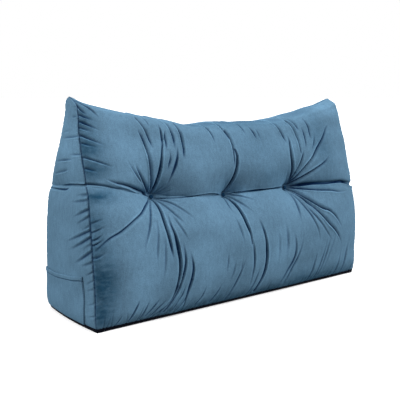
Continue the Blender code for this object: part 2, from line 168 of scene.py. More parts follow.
# The creases of the front, in millimetres: each one's path in x and height, how deep it is at its start,
# middle and end, how wide each flank is, and -1 where the path's right side is rolled up and not its left
Crease = namedtuple("Crease", "path start middle end width lip", defaults=[1])
FRONT_CREASES = [Crease(*row) for row in (
    # Above the left tuft
    (((-262, 307), (-290, 315), (-318, 323), (-352, 335), (-384, 344), (-412, 356)), 8, 9, 0, 7),
    (((-339, 325), (-384, 332), (-420, 341), (-455, 348)), 0, 7, 7, 5),
    (((-264, 313), (-282, 323), (-298, 337), (-315, 361), (-330, 387)), 9, 8, 0, 7),
    (((-294, 330), (-314, 346), (-330, 366), (-350, 393)), 0, 4, 0, 5),
    (((-262, 315), (-276, 343), (-283, 384), (-288, 415), (-292, 437), (-300, 456)), 11, 13, 2, 8),
    (((-269, 412), (-272, 431), (-279, 455), (-287, 471), (-296, 487)), 0, 9, 4, 7),
    (((-264, 462), (-268, 478), (-276, 490), (-288, 503)), 0, 8, 9, 6),
    (((-257, 315), (-256, 340), (-249, 374), (-243, 402), (-236, 421)), 11, 12, 4, 7, -1),
    (((-240, 408), (-234, 430), (-232, 452), (-235, 472)), 0, 7, 0, 6, -1),
    (((-230, 403), (-225, 424), (-224, 440), (-219, 455)), 0, 7, 0, 6),
    (((-203, 404), (-198, 428), (-200, 448), (-206, 466), (-216, 479), (-236, 494)), 0, 11, 10, 7),
    (((-182, 382), (-175, 408), (-172, 432), (-174, 452), (-180, 470)), 0, 14, 5, 8),
    (((-232, 322), (-218, 350), (-207, 371), (-198, 392), (-189, 424)), 0, 7, 0, 6, -1),
    (((-233, 357), (-227, 373), (-221, 389), (-219, 409)), 0, 5, 0, 6),
    (((-69, 412), (-70, 430), (-74, 448), (-82, 466), (-94, 478)), 0, 8, 7, 6),
    # Above the middle tuft
    (((-18, 420), (-23, 432), (-29, 447), (-34, 462), (-36, 480)), 3, 10, 12, 6),
    (((-17, 350), (-16, 375), (-14, 398), (-14, 415), (-17, 431), (-24, 445)), 0, 14, 9, 8),
    (((-22, 300), (-17, 313), (-12, 332), (-8, 348), (-5, 366), (-4, 382), (-7, 397)), 12, 14, 5, 8, -1),
    (((46, 432), (42, 448), (36, 461), (24, 474), (14, 482)), 0, 8, 8, 6),
    (((83, 417), (77, 437), (66, 456)), 0, 6, 0, 7),
    (((97, 407), (94, 433), (85, 454)), 0, 3, 0, 6),
    # Above the right tuft
    (((190, 404), (186, 423), (181, 440), (175, 456), (166, 470), (158, 482)), 0, 13, 12, 10),
    (((216, 306), (213, 320), (209, 340), (204, 361), (202, 380), (203, 397), (205, 412),
      (203, 431)), 4, 11, 0, 10, -1),
    (((240, 371), (239, 389), (239, 410), (237, 430), (232, 449), (221, 468)), 0, 13, 9, 9),
    (((254, 438), (248, 455), (238, 470), (222, 482)), 0, 11, 11, 9),
    (((259, 383), (268, 410), (271, 432), (266, 452)), 0, 6, 0, 9),
    (((290, 411), (295, 429), (296, 450), (288, 472)), 0, 6, 2, 9),
    (((281, 382), (302, 406), (316, 435)), 0, 4, 0, 8),
    (((199, 332), (202, 354), (199, 376)), 0, 5, 0, 6),
    (((217, 303), (220, 318), (226, 334), (235, 351), (244, 369), (252, 388)), 9, 12, 0, 9),
    (((216, 300), (228, 312), (241, 328), (258, 344), (282, 364), (304, 385), (327, 404),
      (350, 424), (376, 452)), 10, 14, 2, 9),
    (((219, 298), (232, 305), (250, 314), (275, 325), (305, 338), (332, 351), (357, 367)), 10, 12, 0, 9),
    # Right of the right tuft, out to the side seam
    (((218, 294), (245, 293), (285, 293), (333, 290), (377, 290), (405, 289), (434, 281),
      (458, 276)), 8, 7, 12, 9, -1),
    (((220, 291), (255, 282), (291, 275), (344, 268), (377, 262), (423, 262)), 6, 7, 0, 9, -1),
    # Along the belt between the tufts
    (((-250, 302), (-218, 298), (-163, 295), (-107, 295), (-32, 291)), 6, 6, 7, 4),
    (((-14, 292), (15, 293), (70, 292), (122, 292), (202, 294)), 6, 6, 6, 4),
    # Below the left tuft
    (((-264, 304), (-300, 289), (-328, 270), (-356, 255), (-393, 234), (-424, 221),
      (-455, 198)), 6, 9, 2, 6, -1),
    (((-268, 298), (-290, 279), (-310, 240), (-328, 203), (-339, 176)), 3, 4, 0, 8),
    (((-256, 296), (-263, 263), (-265, 235), (-263, 209), (-259, 182), (-254, 148)), 6, 13, 0, 8),
    (((-247, 270), (-250, 235), (-244, 207), (-238, 173), (-234, 142), (-235, 112), (-243, 80),
      (-256, 53)), 0, 13, 8, 8),
    (((-236, 98), (-245, 72), (-262, 48), (-288, 24)), 0, 12, 5, 7, -1),
    (((-226, 197), (-220, 166), (-218, 141), (-222, 116), (-230, 92), (-240, 68), (-256, 45),
      (-276, 22)), 0, 9, 5, 7),
    (((-207, 171), (-198, 143), (-194, 121), (-197, 96), (-204, 73), (-212, 50), (-218, 26)), 0, 8, 3, 7),
    (((-214, 88), (-224, 61), (-238, 42), (-256, 18)), 0, 6, 4, 4.5),
    (((-207, 66), (-217, 44), (-232, 26), (-246, 12)), 0, 6, 3, 4.5),
    (((-248, 62), (-270, 42), (-298, 20)), 0, 5, 3, 4.5, -1),
    (((-268, 58), (-290, 38), (-312, 18)), 0, 5, 3, 4.5),
    (((-288, 64), (-306, 42), (-328, 20)), 0, 5, 3, 4.5),
    (((-250, 294), (-233, 264), (-206, 228)), 3, 4, 0, 7),
    (((-248, 300), (-221, 282), (-174, 236)), 3, 4, 0, 7),
    (((-244, 270), (-224, 226), (-204, 186)), 0, 3, 0, 7),
    (((-272, 226), (-276, 184), (-279, 140), (-288, 92)), 0, 3, 0, 9),
    (((-284, 262), (-291, 224), (-299, 176), (-302, 140)), 0, 3, 0, 8),
    (((-346, 69), (-359, 40), (-374, 14)), 0, 6, 3, 5),
    (((-318, 65), (-330, 38), (-343, 14)), 0, 4, 3, 5),
    (((-392, 40), (-400, 24), (-410, 10)), 0, 4, 3, 5),
    # At the left side seam
    (((-446, 532), (-440, 516), (-425, 500)), 5, 6, 0, 5, -1),
    (((-444, 541), (-424, 528), (-410, 512), (-394, 488)), 4, 5, 0, 6),
    (((-452, 507), (-436, 499), (-408, 484)), 5, 5, 0, 5, -1),
    (((-452, 492), (-436, 482), (-402, 462)), 5, 6, 0, 5, -1),
    (((-453, 477), (-440, 470), (-418, 459)), 4, 4, 0, 5, -1),
    (((-454, 459), (-436, 448), (-398, 428)), 5, 6, 0, 6, -1),
    (((-454, 441), (-440, 434), (-418, 426)), 4, 4, 0, 5, -1),
    (((-456, 409), (-434, 399), (-408, 388), (-384, 377)), 4, 5, 0, 5, -1),
    (((-457, 385), (-444, 379), (-426, 372)), 3, 4, 0, 6, -1),
    (((-459, 260), (-446, 264), (-429, 268)), 3, 3, 0, 5),
    (((-461, 239), (-446, 244), (-427, 252)), 4, 4, 0, 5),
    (((-462, 221), (-450, 225), (-434, 235)), 5, 5, 0, 4),
    (((-463, 209), (-450, 214), (-433, 224)), 5, 5, 0, 4),
    (((-463, 180), (-451, 182), (-430, 192)), 4, 4, 0, 5, -1),
    # Below the middle tuft
    (((-18, 286), (-15, 262), (-13, 236), (-10, 210), (-4, 184), (-3, 158)), 5, 13, 4, 7),
    (((-6, 186), (3, 152), (9, 120), (8, 88), (0, 48)), 0, 5.5, 1.5, 8),
    (((-14, 292), (9, 284), (48, 264)), 4, 4, 0, 6),
    (((-12, 286), (1, 265), (26, 232)), 3, 3.5, 0, 7),
    (((-28, 284), (-40, 262), (-44, 240)), 4, 4, 0, 6),
    (((-46, 240), (-35, 197), (-28, 154)), 0, 3, 0, 8),
    (((30, 226), (44, 186), (53, 146), (56, 112), (50, 70), (24, 22)), 0, 10, 6, 8),
    (((-22, 128), (-36, 92), (-52, 60), (-78, 18)), 0, 5, 2.5, 7),
    (((34, 96), (25, 70), (13, 42), (-6, 14)), 0, 4, 2.5, 7),
    (((-59, 122), (-63, 94), (-76, 66)), 0, 3, 0, 8),
    (((-34, 117), (-38, 88)), 0, 3, 0, 7),
    (((-100, 70), (-112, 44), (-132, 20)), 0, 4, 3, 5),
    (((-150, 72), (-160, 46), (-180, 22)), 0, 4, 3, 5),
    (((-84, 150), (-84, 118), (-90, 88)), 0, 3, 0, 6),
    # Below the right tuft
    (((216, 290), (232, 268), (255, 246), (288, 223), (318, 211), (347, 188),
      (376, 152)), 10, 13, 0, 9, -1),
    (((236, 245), (255, 227), (279, 204), (308, 178), (337, 155), (360, 131),
      (374, 104)), 0, 10, 0, 9, -1),
    (((216, 278), (228, 260), (242, 240), (262, 222), (280, 200)), 3, 5, 0, 6, -1),
    (((211, 270), (225, 234), (244, 197), (262, 160), (269, 126)), 3, 4, 0, 8),
    (((206, 270), (198, 230), (191, 190)), 3, 4, 0, 10),
    (((222, 252), (244, 216), (288, 168), (340, 108)), 0, 4, 0, 8),
    (((126, 200), (134, 168), (136, 136), (128, 84)), 0, 3, 0, 12),
    (((158, 176), (168, 142), (169, 112), (160, 86), (142, 62), (120, 32)), 0, 5, 2.5, 10),
    (((200, 158), (190, 122), (176, 92), (158, 64), (136, 28)), 0, 4, 2.5, 9),
    (((304, 138), (294, 98), (282, 64), (264, 20)), 0, 3.5, 2.5, 9),
    (((322, 150), (310, 108), (297, 70), (276, 26)), 0, 3.5, 2, 10),
    (((262, 112), (256, 76), (248, 44), (234, 12)), 0, 3.5, 2.5, 9),
    (((92, 196), (100, 160), (102, 122), (94, 78)), 0, 2, 0, 11),
    (((376, 96), (369, 56), (361, 30), (352, 8)), 0, 3.5, 2.5, 9),
    (((414, 118), (406, 76), (397, 42), (384, 8)), 0, 3.5, 2, 10),
    (((346, 160), (334, 122), (318, 86), (296, 40)), 0, 2, 1.5, 11),
)]

# The creases of the side panels, in millimetres: each one's path in y and height
RIGHT_CREASES = [Crease(*row) for row in (
    (((-124, 282), (-97, 285), (-26, 289), (44, 297)), 8, 8, 0, 5),
    (((107, 300), (68, 299), (6, 295), (-12, 291)), 9, 7, 0, 5, -1),
)]
LEFT_CREASES = [Crease(*row) for row in (
    # Along the belt
    (((-116, 348), (-97, 347), (-26, 341), (34, 332)), 8, 8, 0, 5),
    (((98, 326), (68, 323), (6, 327), (-19, 334)), 9, 7, 0, 5, -1),
    # Above the belt
    (((-32, 501), (-42, 502), (-56, 503)), 0, 3, 1, 5),
    (((14, 449), (-24, 453), (-76, 458)), 0, 3, 3, 5),
    (((6, 463), (-18, 467), (-40, 470)), 0, 2, 0, 5),
    (((-37, 412), (-60, 414), (-88, 417)), 0, 3, 3, 5),
    (((30, 393), (-14, 399), (-56, 403)), 2, 4, 0, 5),
    (((42, 362), (0, 371), (-30, 378)), 2, 3, 0, 6),
    # Gathers of the front seam, below the belt
    (((-114, 327), (-92, 324), (-60, 319)), 3, 3, 0, 8),
    (((-116, 315), (-75, 307), (-36, 300)), 3, 3, 0, 8),
    (((-119, 294), (-92, 284), (-50, 265)), 4, 4, 0, 9),
    (((-122, 280), (-96, 266), (-62, 249)), 4, 3, 0, 8),
    (((-126, 259), (-108, 249), (-90, 239)), 3, 2, 0, 7),
    (((-128, 247), (-73, 224), (-10, 199)), 4.5, 4, 0, 9),
    (((-130, 232), (-86, 209), (-28, 182)), 4.5, 4, 0, 9),
    (((-132, 216), (-112, 206), (-90, 194)), 3, 2, 0, 7),
    (((-133, 199), (-94, 176), (-54, 154)), 4, 4, 0, 9),
    (((-134, 173), (-112, 164), (-88, 155)), 3, 3, 0, 8),
    # Between the pocket and the front seam
    (((-134, 150), (-122, 144), (-108, 136)), 4, 3, 1, 5),
    (((-134, 129), (-122, 123), (-106, 114)), 2, 2, 1, 5),
    (((-135, 109), (-124, 105), (-108, 99)), 2, 2, 1, 5),
    (((-135, 76), (-126, 71), (-108, 64)), 2, 2, 1, 5),
    (((-135, 43), (-128, 41), (-110, 36)), 2, 2, 1, 5),
)]

# Patches where the velvet is darker or paler: partly the pile brushed down and brushed up, partly painted
# shade (beside the left seam, low along the floor, under the top edge) and painted light (round the tufts and
# on broad faces): each patch's middle and half size in millimetres, and how dark it is (pale below 0)
Patch = namedtuple("Patch", "across height wide high dark")
NAP_AND_PAINTED_LIGHT_PATCHES = {
    "front": [Patch(*row) for row in (
        (-448, 484, 34, 46, 0.7),
        (-444, 424, 40, 26, 0.9),
        (-444, 376, 46, 20, 0.95),
        (-440, 318, 56, 17, 1.0),
        (-458, 262, 32, 30, 0.7),
        (-458, 200, 34, 34, 0.65),
        (-442, 120, 42, 62, 1.1),
        (-446, 44, 32, 36, 0.9),
        (150, 10, 330, 18, 0.8),
        (-150, 12, 190, 20, 0.6),
        (250, 24, 190, 26, 0.5),
        (-248, 48, 44, 30, 0.25),
        (-90, 40, 60, 26, 0.25),
        (190, 40, 50, 24, 0.2),
        (335, 400, 44, 80, 0.45),
        (330, 288, 60, 22, 0.35),
        (110, 322, 64, 24, 0.35),
        (90, 400, 90, 60, 0.18),
        (40, 466, 200, 14, 0.35),
        (-336, 118, 62, 90, -0.42),
        (-352, 410, 38, 90, -0.15),
        (-150, 120, 50, 70, -0.26),
        (95, 126, 56, 64, -0.28),
        (-310, 372, 50, 30, -0.2),
        (-270, 330, 24, 22, -0.4),
        (18, 290, 24, 20, -0.4),
        (240, 326, 22, 22, -0.3),
        (238, 272, 22, 16, -0.3),
        (410, 505, 50, 30, -0.2),
    )],
    "left": [Patch(*row) for row in (
        (-50, 430, 90, 80, -0.34),
        (-106, 316, 56, 17, 0.15),
        (-114, 262, 44, 34, 0.2),
        (-120, 200, 44, 34, 0.2),
    )],
}

# Fine folds that fan out round a tuft of the front: from one turn to another, in degrees from +X upwards, how
# many, from how near to how far from the tuft's middle, and how deep, in millimetres
Fan = namedtuple("Fan", "tuft start_turn end_turn count inner outer depth")
FANS = [Fan(*row) for row in (
    (0, 8, 55, 5, 9, 52, 3.0),
    (0, 96, 150, 6, 10, 75, 2.0),
    (0, 190, 262, 5, 9, 60, 1.6),
    (0, -62, -12, 7, 18, 105, 1.7),
    (1, 50, 132, 6, 9, 42, 3.0),
    (1, -110, -30, 5, 12, 50, 1.8),
    (2, 84, 128, 6, 10, 92, 3.4),
    (2, 8, 70, 5, 12, 70, 3.4),
    (2, -70, -14, 9, 14, 115, 2.2),
)]

# A fold of a fan: where it starts in its part of the fan, how long and how deep it is against its row, how
# far it bends, in degrees, and its width in millimetres
FAN_PLACE = (0.2, 0.8)
FAN_LENGTH = (0.6, 1.1)
FAN_BEND = 6
FAN_DEPTH = (0.6, 1.2)
FAN_WIDTH = 3.6

# Gathered seams, in millimetres: the panel, the seed, the seam between two places across and up the panel or
# between two rises of a side seam, how far and which way the gathers run, their spacing and their depth
GatherRow = namedtuple("GatherRow", "panel seed seam inward spacing depth")
GATHER_ROWS = [GatherRow(*row) for row in (
    ("front", 11, ((-445, 12), (-200, 12)), (14, 36), 10, 2.2),
    ("front", 12, ((-200, 12), (445, 12)), (14, 32), 12, 2.0),
    ("front", 13, ((-430, 520), (430, 520)), (-2, -20), 34, 1.2),
    ("front", 14, ((457, 20), (457, 500)), (-22, -5), 20, 1.6),
    ("front", 15, ((-461, 20), (-461, 170)), (16, 6), 12, 1.0),
    ("back", 21, ((-440, 4), (440, 4)), (3, 24), 20, 3.0),
    ("back", 22, ((-440, 528), (440, 528)), (0, -22), 26, 2.4),
    ("back", 23, ((459, 20), (459, 505)), (-26, 3), 19, 3.0),
    ("back", 24, ((-459, 20), (-459, 505)), (26, 3), 19, 3.0),
    ("left", 31, ("back", 0.26, 0.58), (-20, 2), 17, 1.8),
    ("left", 32, ("back", 0.66, 0.97), (-16, 2), 15, 1.4),
    ("left", 33, ("front", 0.66, 0.97), (14, 2), 14, 1.2),
    ("right", 41, ("back", 0.03, 0.57), (-26, -6), 17, 3.0),
    ("right", 42, ("back", 0.66, 0.97), (-18, 2), 15, 2.0),
    ("right", 43, ("front", 0.03, 0.57), (34, -12), 17, 3.6),
    ("right", 44, ("front", 0.66, 0.97), (20, 2), 15, 2.0),
)]

# A gather: where it starts in its part of the seam, how long and how deep it is against its row, how far it
# is turned, and its width in millimetres. The seam's length is measured in steps.
SEAM_STEPS = 20
GATHER_PLACE = (0.15, 0.85)
GATHER_REACH = (0.5, 1.4)
GATHER_TURN = 0.35
GATHER_DEPTH = (0.5, 1.2)
GATHER_WIDTH = (3.6, 5.2)

# The folds round the tufts of the back, in degrees and millimetres: the deeper a fold, the longer it is
BACK_SEED = 51
BACK_FOLD_TURNS = (20, 62, 98, 150, 205, 248, 285, 335)
BACK_FOLD_DEPTHS = (8, 11, 9, 6, 9, 12, 8, 7)
BACK_FOLD_TURN = 12
BACK_FOLD_LENGTH = 65
BACK_FOLD_GAIN = 7.8
BACK_FOLD_LENGTHS = (0.7, 1.25)
BACK_FOLD_BEND = 9
BACK_FOLD_SHARES = (0.6, 1.1)
BACK_FOLD_WIDTHS = (5, 8)

# A crease of the back's belt: its depth at its start, middle and end, its width and its rolled side
BACK_BELT = (5, 4, 5, 6, 1)

# How deep a small fold is in its middle, against its start
FADING = 0.8

# A crease on its rolled side and on its other side: how wide its flank and its dark line are against its
# width, and how high its ridge is against its depth
FLANKS = (0.30, 0.58)
LINE_WIDTHS = (0.22, 0.36)
LIPS = (0.32, 0.10)

# Where a crease's ridges lie, in flanks; how wide its flanks are where it has no depth, and what its full
# depth adds; how round its bottom is; how much of its row's depth it has; and its reach, in widths
LIP_PLACE = 2.2
TIP_WIDTH = 0.55
DEEP_WIDTH = 0.45
SOFT_TIP = 0.12
DEPTH_SHARE = 0.85
CREASE_REACH = 5

# The points on a crease's path for each of its places, and how sharply the deeper of two creases wins
PATH_POINTS = 5
MERGING = 4

# Painted shade lines: the depth from which a fold's dark line is full, and the dark lines of tufts and seams;
# a seam's line is partly its own dark join and partly painted shade
LINE_DEPTH = 0.0042
LINE_POWER = 1.5
TUFT_LINE = 0.0075
SEAM_LINE = 0.8
SEAM_LINE_WIDTH = 0.0016

# Painted shade on the front where it turns over to its top and right seams: from which share of the panel on,
# from how far its normal points up or right and over what run, and how dark
TURNED_START = 0.93
TURNED_UP = 0.93
TURNED_UP_RUN = 0.06
TURNED_UP_LINE = 0.35
TURNED_RIGHT = 0.70
TURNED_RIGHT_RUN = 0.15
TURNED_RIGHT_LINE = 0.245

# How near a tuft's middle a crease starts, and over what run it gains its depth
CREASE_START = 0.0055
CREASE_RUN = 0.012

# Seams: how deep they draw the cloth in and over what distance
SEAM_SINK = 0.0022
SEAM_REACH = 0.0032
SEAM_HOLD = 0.002
CORNER_HOLD = 0.03
FOOT_SINK_SHARE = 0.3

# The base's black cloth, which is turned up a little round the foot, where its black band also stands in for
# the contact shadow as painted shade: how high, and how deep its seam lies
BASE_EDGE = 0.0110
BASE_GROOVE = 0.0012
BASE_GROOVE_WIDTH = 0.0014

# The stuffing's soft unevenness under the cloth, and how far from a seam it begins
UNEVEN_SEED = 5
UNEVEN_WAVES = 16
UNEVEN_HEIGHT = 0.00028
UNEVEN_LENGTHS = (0.06, 0.20)
UNEVEN_START = 0.3
UNEVEN_RUN = 3 * SEAM_REACH

# How finely the cloth is divided, and how many triangles its mesh may keep
COLUMNS = 500
ROWS = 300
DEPTH_COLUMNS = 110
BELT_ROW_SHARE = 0.56
CLOSE_ENDS = 0.35
TRIANGLES = 190000
WELD = 1e-5
ON_FLOOR = 1e-4

# How the depth of the hollows is found, which sets the velvet's painted shade in them and its painted
# highlight on the ridges: against the cloth smoothed over this many rounds
HOLLOW_ROUNDS = 14
HOLLOW_DEPTH = 0.0022
SEAM_SHADE = 0.45
SEAM_SHADE_REACH = 2 * SEAM_REACH

# The pocket on the left side panel, in millimetres: its top edge from the front to the back, in y and height,
# its front edge from the bottom up, in height and y, its foot's height, and how far it stays off the back
# seam, which is taken at one rise
POCKET_TOP = ((-94, 132), (-85, 131), (-49, 124), (-15, 120), (30, 115), (82, 113), (130, 113))
POCKET_FRONT = ((10, -88), (22, -95), (56, -98), (93, -96), (129, -94))
POCKET_FOOT = 10
POCKET_BACK_INSET = 3
POCKET_RISE = 0.1
POCKET_COLUMNS = 150
POCKET_ROWS = 110
POCKET_ROUNDS = 12

# The pocket's cloth, hem and seams
POCKET_GAP = 0.0007
POCKET_CLOTH = 0.0016
POCKET_THINNEST = 0.0004
HEM_HEIGHT = 0.012
HEM_CLOTH = 0.0012
HEM_STEP = 0.001
HEM_SEAM = 0.0012
HEM_GROOVE = 0.0013
MOUTH_LIFT = 0.0030
MOUTH_REACH = 0.020
MOUTH_POWER = 0.7
EDGE_STITCH = 0.0035
EDGE_SEAM = 0.0010
EDGE_GROOVE_SHARE = 0.6
EDGE_ROLL = 0.0016
RIM_SHARE = 0.3
ROLL_SHARE = 0.7

# A stitch's length, width and height, and how it is set and shaped
STITCH = (0.0034, 0.0009, 0.0007)
STITCH_PITCH = 0.0048
STITCH_RISE = 0.0003
STITCH_RINGS = 5
STITCH_TURNS = 8
STITCH_TIP = 0.15

# The covered button in each tuft: half its width and half its thickness, and the shape of its pleated rim
BUTTON_SIZE = (0.0055, 0.00225)
BUTTON_SEAT_RISE = 0.004
BUTTON_RINGS = 24
BUTTON_TIP = 0.02
BUTTON_POWER = 0.85
BUTTON_PLEATS = 13
PLEAT_DEPTH = 0.05
PLEAT_POWER = 6

# Colours
VELVET = (0.101, 0.196, 0.290)
# The button's velvet: the cover's cloth, painted dark with the shade at the bottom of its tuft
BUTTON_VELVET_PAINTED_SHADE = (0.006, 0.034, 0.078)
THREAD = (0.035, 0.085, 0.135)
# Painted shade laid into the velvet's hollows
FOLD_SHADE = (0.002, 0.045, 0.115)
# Painted shade along the bottoms of creases and tufts and along the seams
LINE_SHADE = (0.000, 0.010, 0.050)
# Dark patches: partly the pile's own tone, partly painted shade
NAP_SHADE = (0.016, 0.060, 0.110)
# Black base cloth; its band round the foot is also painted shade for the contact shadow
BASE_CLOTH_AND_CONTACT_SHADE = (0.001, 0.0015, 0.004)

# How the velvet and the floor take the light
VELVET_SURFACE = {
    "Roughness": 0.8,
    "Specular IOR Level": 0.03,
    "Sheen Weight": 0.15,
    "Sheen Roughness": 0.5,
    "Sheen Tint": (0.25, 0.65, 1.0, 1),
}
FLOOR_SURFACE = {
    "Base Color": (0.9, 0.9, 0.9, 1),
    "Roughness": 1,
    "Specular IOR Level": 0,
    "Emission Color": (1, 1, 1, 1),
    "Emission Strength": 0.35,
}
FLOOR_SIZE = 400

# Light: how bright the dome is, how dim its foot is, between which heights it brightens, and how soft the
# suns are, in degrees
DOME_STRENGTH = 0.82
DOME_FOOT = 0.04
DOME_FOOT_HEIGHT = -0.25
DOME_RIM_HEIGHT = 0.4
SUN_SOFTNESS = 50

# The photo's camera, in degrees, metres and millimetres
CAMERA_TURN = -37.43
CAMERA_TILT = 8.81
CAMERA_DISTANCE = 1.858
CAMERA_TARGET_X = -0.0487
CAMERA_TARGET_Z = 0.2622
CAMERA_SENSOR = 36
CAMERA_LENS = 59.6


def curve(places, values, at):
    """A smooth curve through a table's rows, whose slope at each row comes from its neighbours."""
    places = np.asarray(places, float)
    values = np.asarray(values, float)
    steps = np.diff(places)
    chords = np.diff(values) / steps
    inner = (chords[:-1] * steps[1:] + chords[1:] * steps[:-1]) / (steps[:-1] + steps[1:])
    slopes = np.concatenate([chords[:1], inner, chords[-1:]])
    at = np.clip(np.asarray(at, float), places[0], places[-1])
    row = np.clip(np.searchsorted(places, at, side="right") - 1, 0, len(steps) - 1)
    reach = steps[row]
    u = (at - places[row]) / reach
    return (
        values[row] * (2 * u**3 - 3 * u**2 + 1)
        + slopes[row] * reach * (u**3 - 2 * u**2 + u)
        + values[row + 1] * (3 * u**2 - 2 * u**3)
        + slopes[row + 1] * reach * (u**3 - u**2)
    )


def table(rows, key, column, at):
    return curve([getattr(row, key) for row in rows], [getattr(row, column) for row in rows], at)


def crown(share):
    """A round profile across a panel: 0 at both seams and 1 in the middle."""
    return np.sqrt(np.clip(1 - (2 * share - 1) ** 2, 0, 1))


def swell(share, rise):
    """How far a panel swells: 0 at its seams, 1 in its middle. The base holds it in near the floor."""
    held = 1 - BASE_HOLD * np.exp(-rise / BASE_HOLD_REACH)
    return crown(share) ** SWELL_ACROSS * crown(rise) ** SWELL_UP * held


def trough(distance, reach):
    """The hollow between two puffs: 1 at the stitch, 0 from reach on."""
    near = 1 - np.clip(distance / reach, 0, 1)
    return 1 - (1 - near**2) ** PUFF_POWER


def base_bow(r, rise):
    """How far a side panel stands out at its foot, between the base's corners."""
    return SIDE_BASE_BOW * 4 * r * (1 - r) * np.exp(-rise / SIDE_BASE_BOW_REACH)


def seam_point(edge, rise):
    """A point of a side seam at x = +half length: edge is front or back."""
    y = table(SEAM_ROWS, "rise", edge + "_y", rise)
    z = table(SEAM_ROWS, "rise", edge + "_z", rise)
    x = HALF_LENGTH + table(SEAM_ROWS, "rise", "overhang", rise)
    return x, y, z


def belt_rise(edge, x):
    return table(BELT_ROWS, "x", edge + "_rise", x)


def face_base(edge, s, rise):
    """The flat-stretched front or back panel between its seams."""
    across = 2 * s - 1
    half, y, z = seam_point(edge, rise)
    drop = EAR_HEIGHT - table(TOP_ROWS, "x", "height", across * HALF_LENGTH)
    forward = table(TOP_ROWS, "x", "forward", across * HALF_LENGTH)
    lift = EAR_LIFT * rise**EAR_LIFT_POWER * np.exp(-(((1 - np.abs(across)) / EAR_LIFT_REACH) ** 2))
    return across * half, y - forward * rise**FORWARD_POWER, z - drop * rise**DROP_POWER + lift


def tuft_height(edge, x):
    return face_base(edge, np.array(0.5 + x / (2 * HALF_LENGTH)), belt_rise(edge, x))[2]


def from_tufts(edge, x, z):
    """How far points of the front or back lie from each of its tufts."""
    return [np.hypot(x - tuft_x, z - tuft_height(edge, tuft_x)) for tuft_x in TUFT_X]


def clear_of_tufts(edge, x, z, start, run):
    """How clear of the tufts points are: 0 up to start from a tuft's middle, and 1 from a run beyond it."""
    return math.prod(np.clip((away - start) / run, 0, 1) for away in from_tufts(edge, x, z))


def face_point(edge, s, rise):
    """The stuffed front or back panel, with its crown, belt and tufts."""
    face = FACES[edge]
    x, y, z = face_base(edge, s, rise)
    inside = crown(s) ** INSIDE_POWER * crown(rise)
    from_belt = np.abs(z - face_base(edge, s, belt_rise(edge, x))[2])
    tufts = sum(TUFT_DEPTH * trough(away - TUFT_SEAT, TUFT_REACH) for away in from_tufts(edge, x, z))
    seat = TUFT_SEAT * (1 - clear_of_tufts(edge, x, z, SEAT_START, SEAT_RUN))
    belt = table(BELT_ROWS, "x", "depth", x) * trough(from_belt - seat, BELT_REACH)
    well = face.depth_share * (tufts + belt)
    notch = BELT_NOTCH * trough(from_belt, BELT_NOTCH_REACH) * (1 - crown(s) ** INSIDE_POWER)
    push = face.crown * swell(s, rise) - well * inside - notch
    lean = np.radians(table(LEAN_ROWS, "rise", edge, rise))
    return x, y + face.outward * push * np.cos(lean), z + push * np.sin(lean)


def even_grid(columns, rows):
    """Shares from 0 to 1 across and up a panel."""
    return np.meshgrid(np.linspace(0, 1, columns + 1), np.linspace(0, 1, rows + 1))


def spread(share):
    """Shares from 0 to 1 that lie closer together towards both ends."""
    return (1 - CLOSE_ENDS) * share + CLOSE_ENDS * (1 - np.cos(math.pi * share)) / 2


def spread_rows(v, belt):
    """Rise at each row: close together at the seams and at the belt."""
    below = belt * spread(np.clip(v / BELT_ROW_SHARE, 0, 1))
    above = spread(np.clip((v - BELT_ROW_SHARE) / (1 - BELT_ROW_SHARE), 0, 1))
    return below + (1 - belt) * above


def face_panel(edge):
    """The front or back panel as a grid: its points, and where they lie on the flat-stretched panel."""
    u, v = even_grid(COLUMNS, ROWS)
    s = spread(u)
    rise = spread_rows(v, belt_rise(edge, (2 * s - 1) * HALF_LENGTH))
    x, _, z = face_base(edge, s, rise)
    return np.stack(face_point(edge, s, rise), -1), x, z


def side_panel(end):
    """The side panel at the end -1 or 1, as a grid from its front seam to its back seam."""
    u, v = even_grid(DEPTH_COLUMNS, ROWS)
    r = spread(u)
    s = np.full(v.shape, 0.5 + end / 2)
    front_belt = belt_rise("front", end * HALF_LENGTH)
    back_belt = belt_rise("back", end * HALF_LENGTH)
    rise = spread_rows(v, front_belt)
    front = face_point("front", s, rise)
    back = face_point("back", s, spread_rows(v, back_belt))
    x, y, z = (a + (b - a) * r for a, b in zip(front, back))
    belt_z = seam_point("front", front_belt)[2] * (1 - r) + seam_point("back", back_belt)[2] * r
    well = SIDE_BELT_DEPTH * trough(np.abs(z - belt_z), SIDE_BELT_REACH) * crown(r)
    return np.stack((x + end * (SIDE_CROWN * swell(r, rise) + base_bow(r, rise) - well), y, z), -1)


def base_panel():
    s, r = (spread(share) for share in even_grid(COLUMNS, DEPTH_COLUMNS))
    half, front_y, _ = seam_point("front", 0.0)
    back_y = seam_point("back", 0.0)[1]
    x = (2 * s - 1) * (half + base_bow(r, 0.0))
    return np.stack((x, front_y + (back_y - front_y) * r, np.zeros(s.shape)), -1)


def grid_normals(points, outward):
    """Unit normals of a grid of points, on the side that outward points to."""
    normals = np.cross(np.gradient(points, axis=1), np.gradient(points, axis=0))
    normals /= np.maximum(np.linalg.norm(normals, axis=-1, keepdims=True), 1e-12)
    facing = np.sign((normals * np.asarray(outward, float)).sum(-1).mean())
    return normals * facing


def path_points(path):
    """Points close together on a smooth curve through a path in millimetres, and each one's share of it."""
    along = np.linspace(0, 1, PATH_POINTS * len(path))
    ends = np.linspace(0, 1, len(path))
    return np.stack([curve(ends, np.array(places) * MM, along) for places in zip(*path)], -1), along


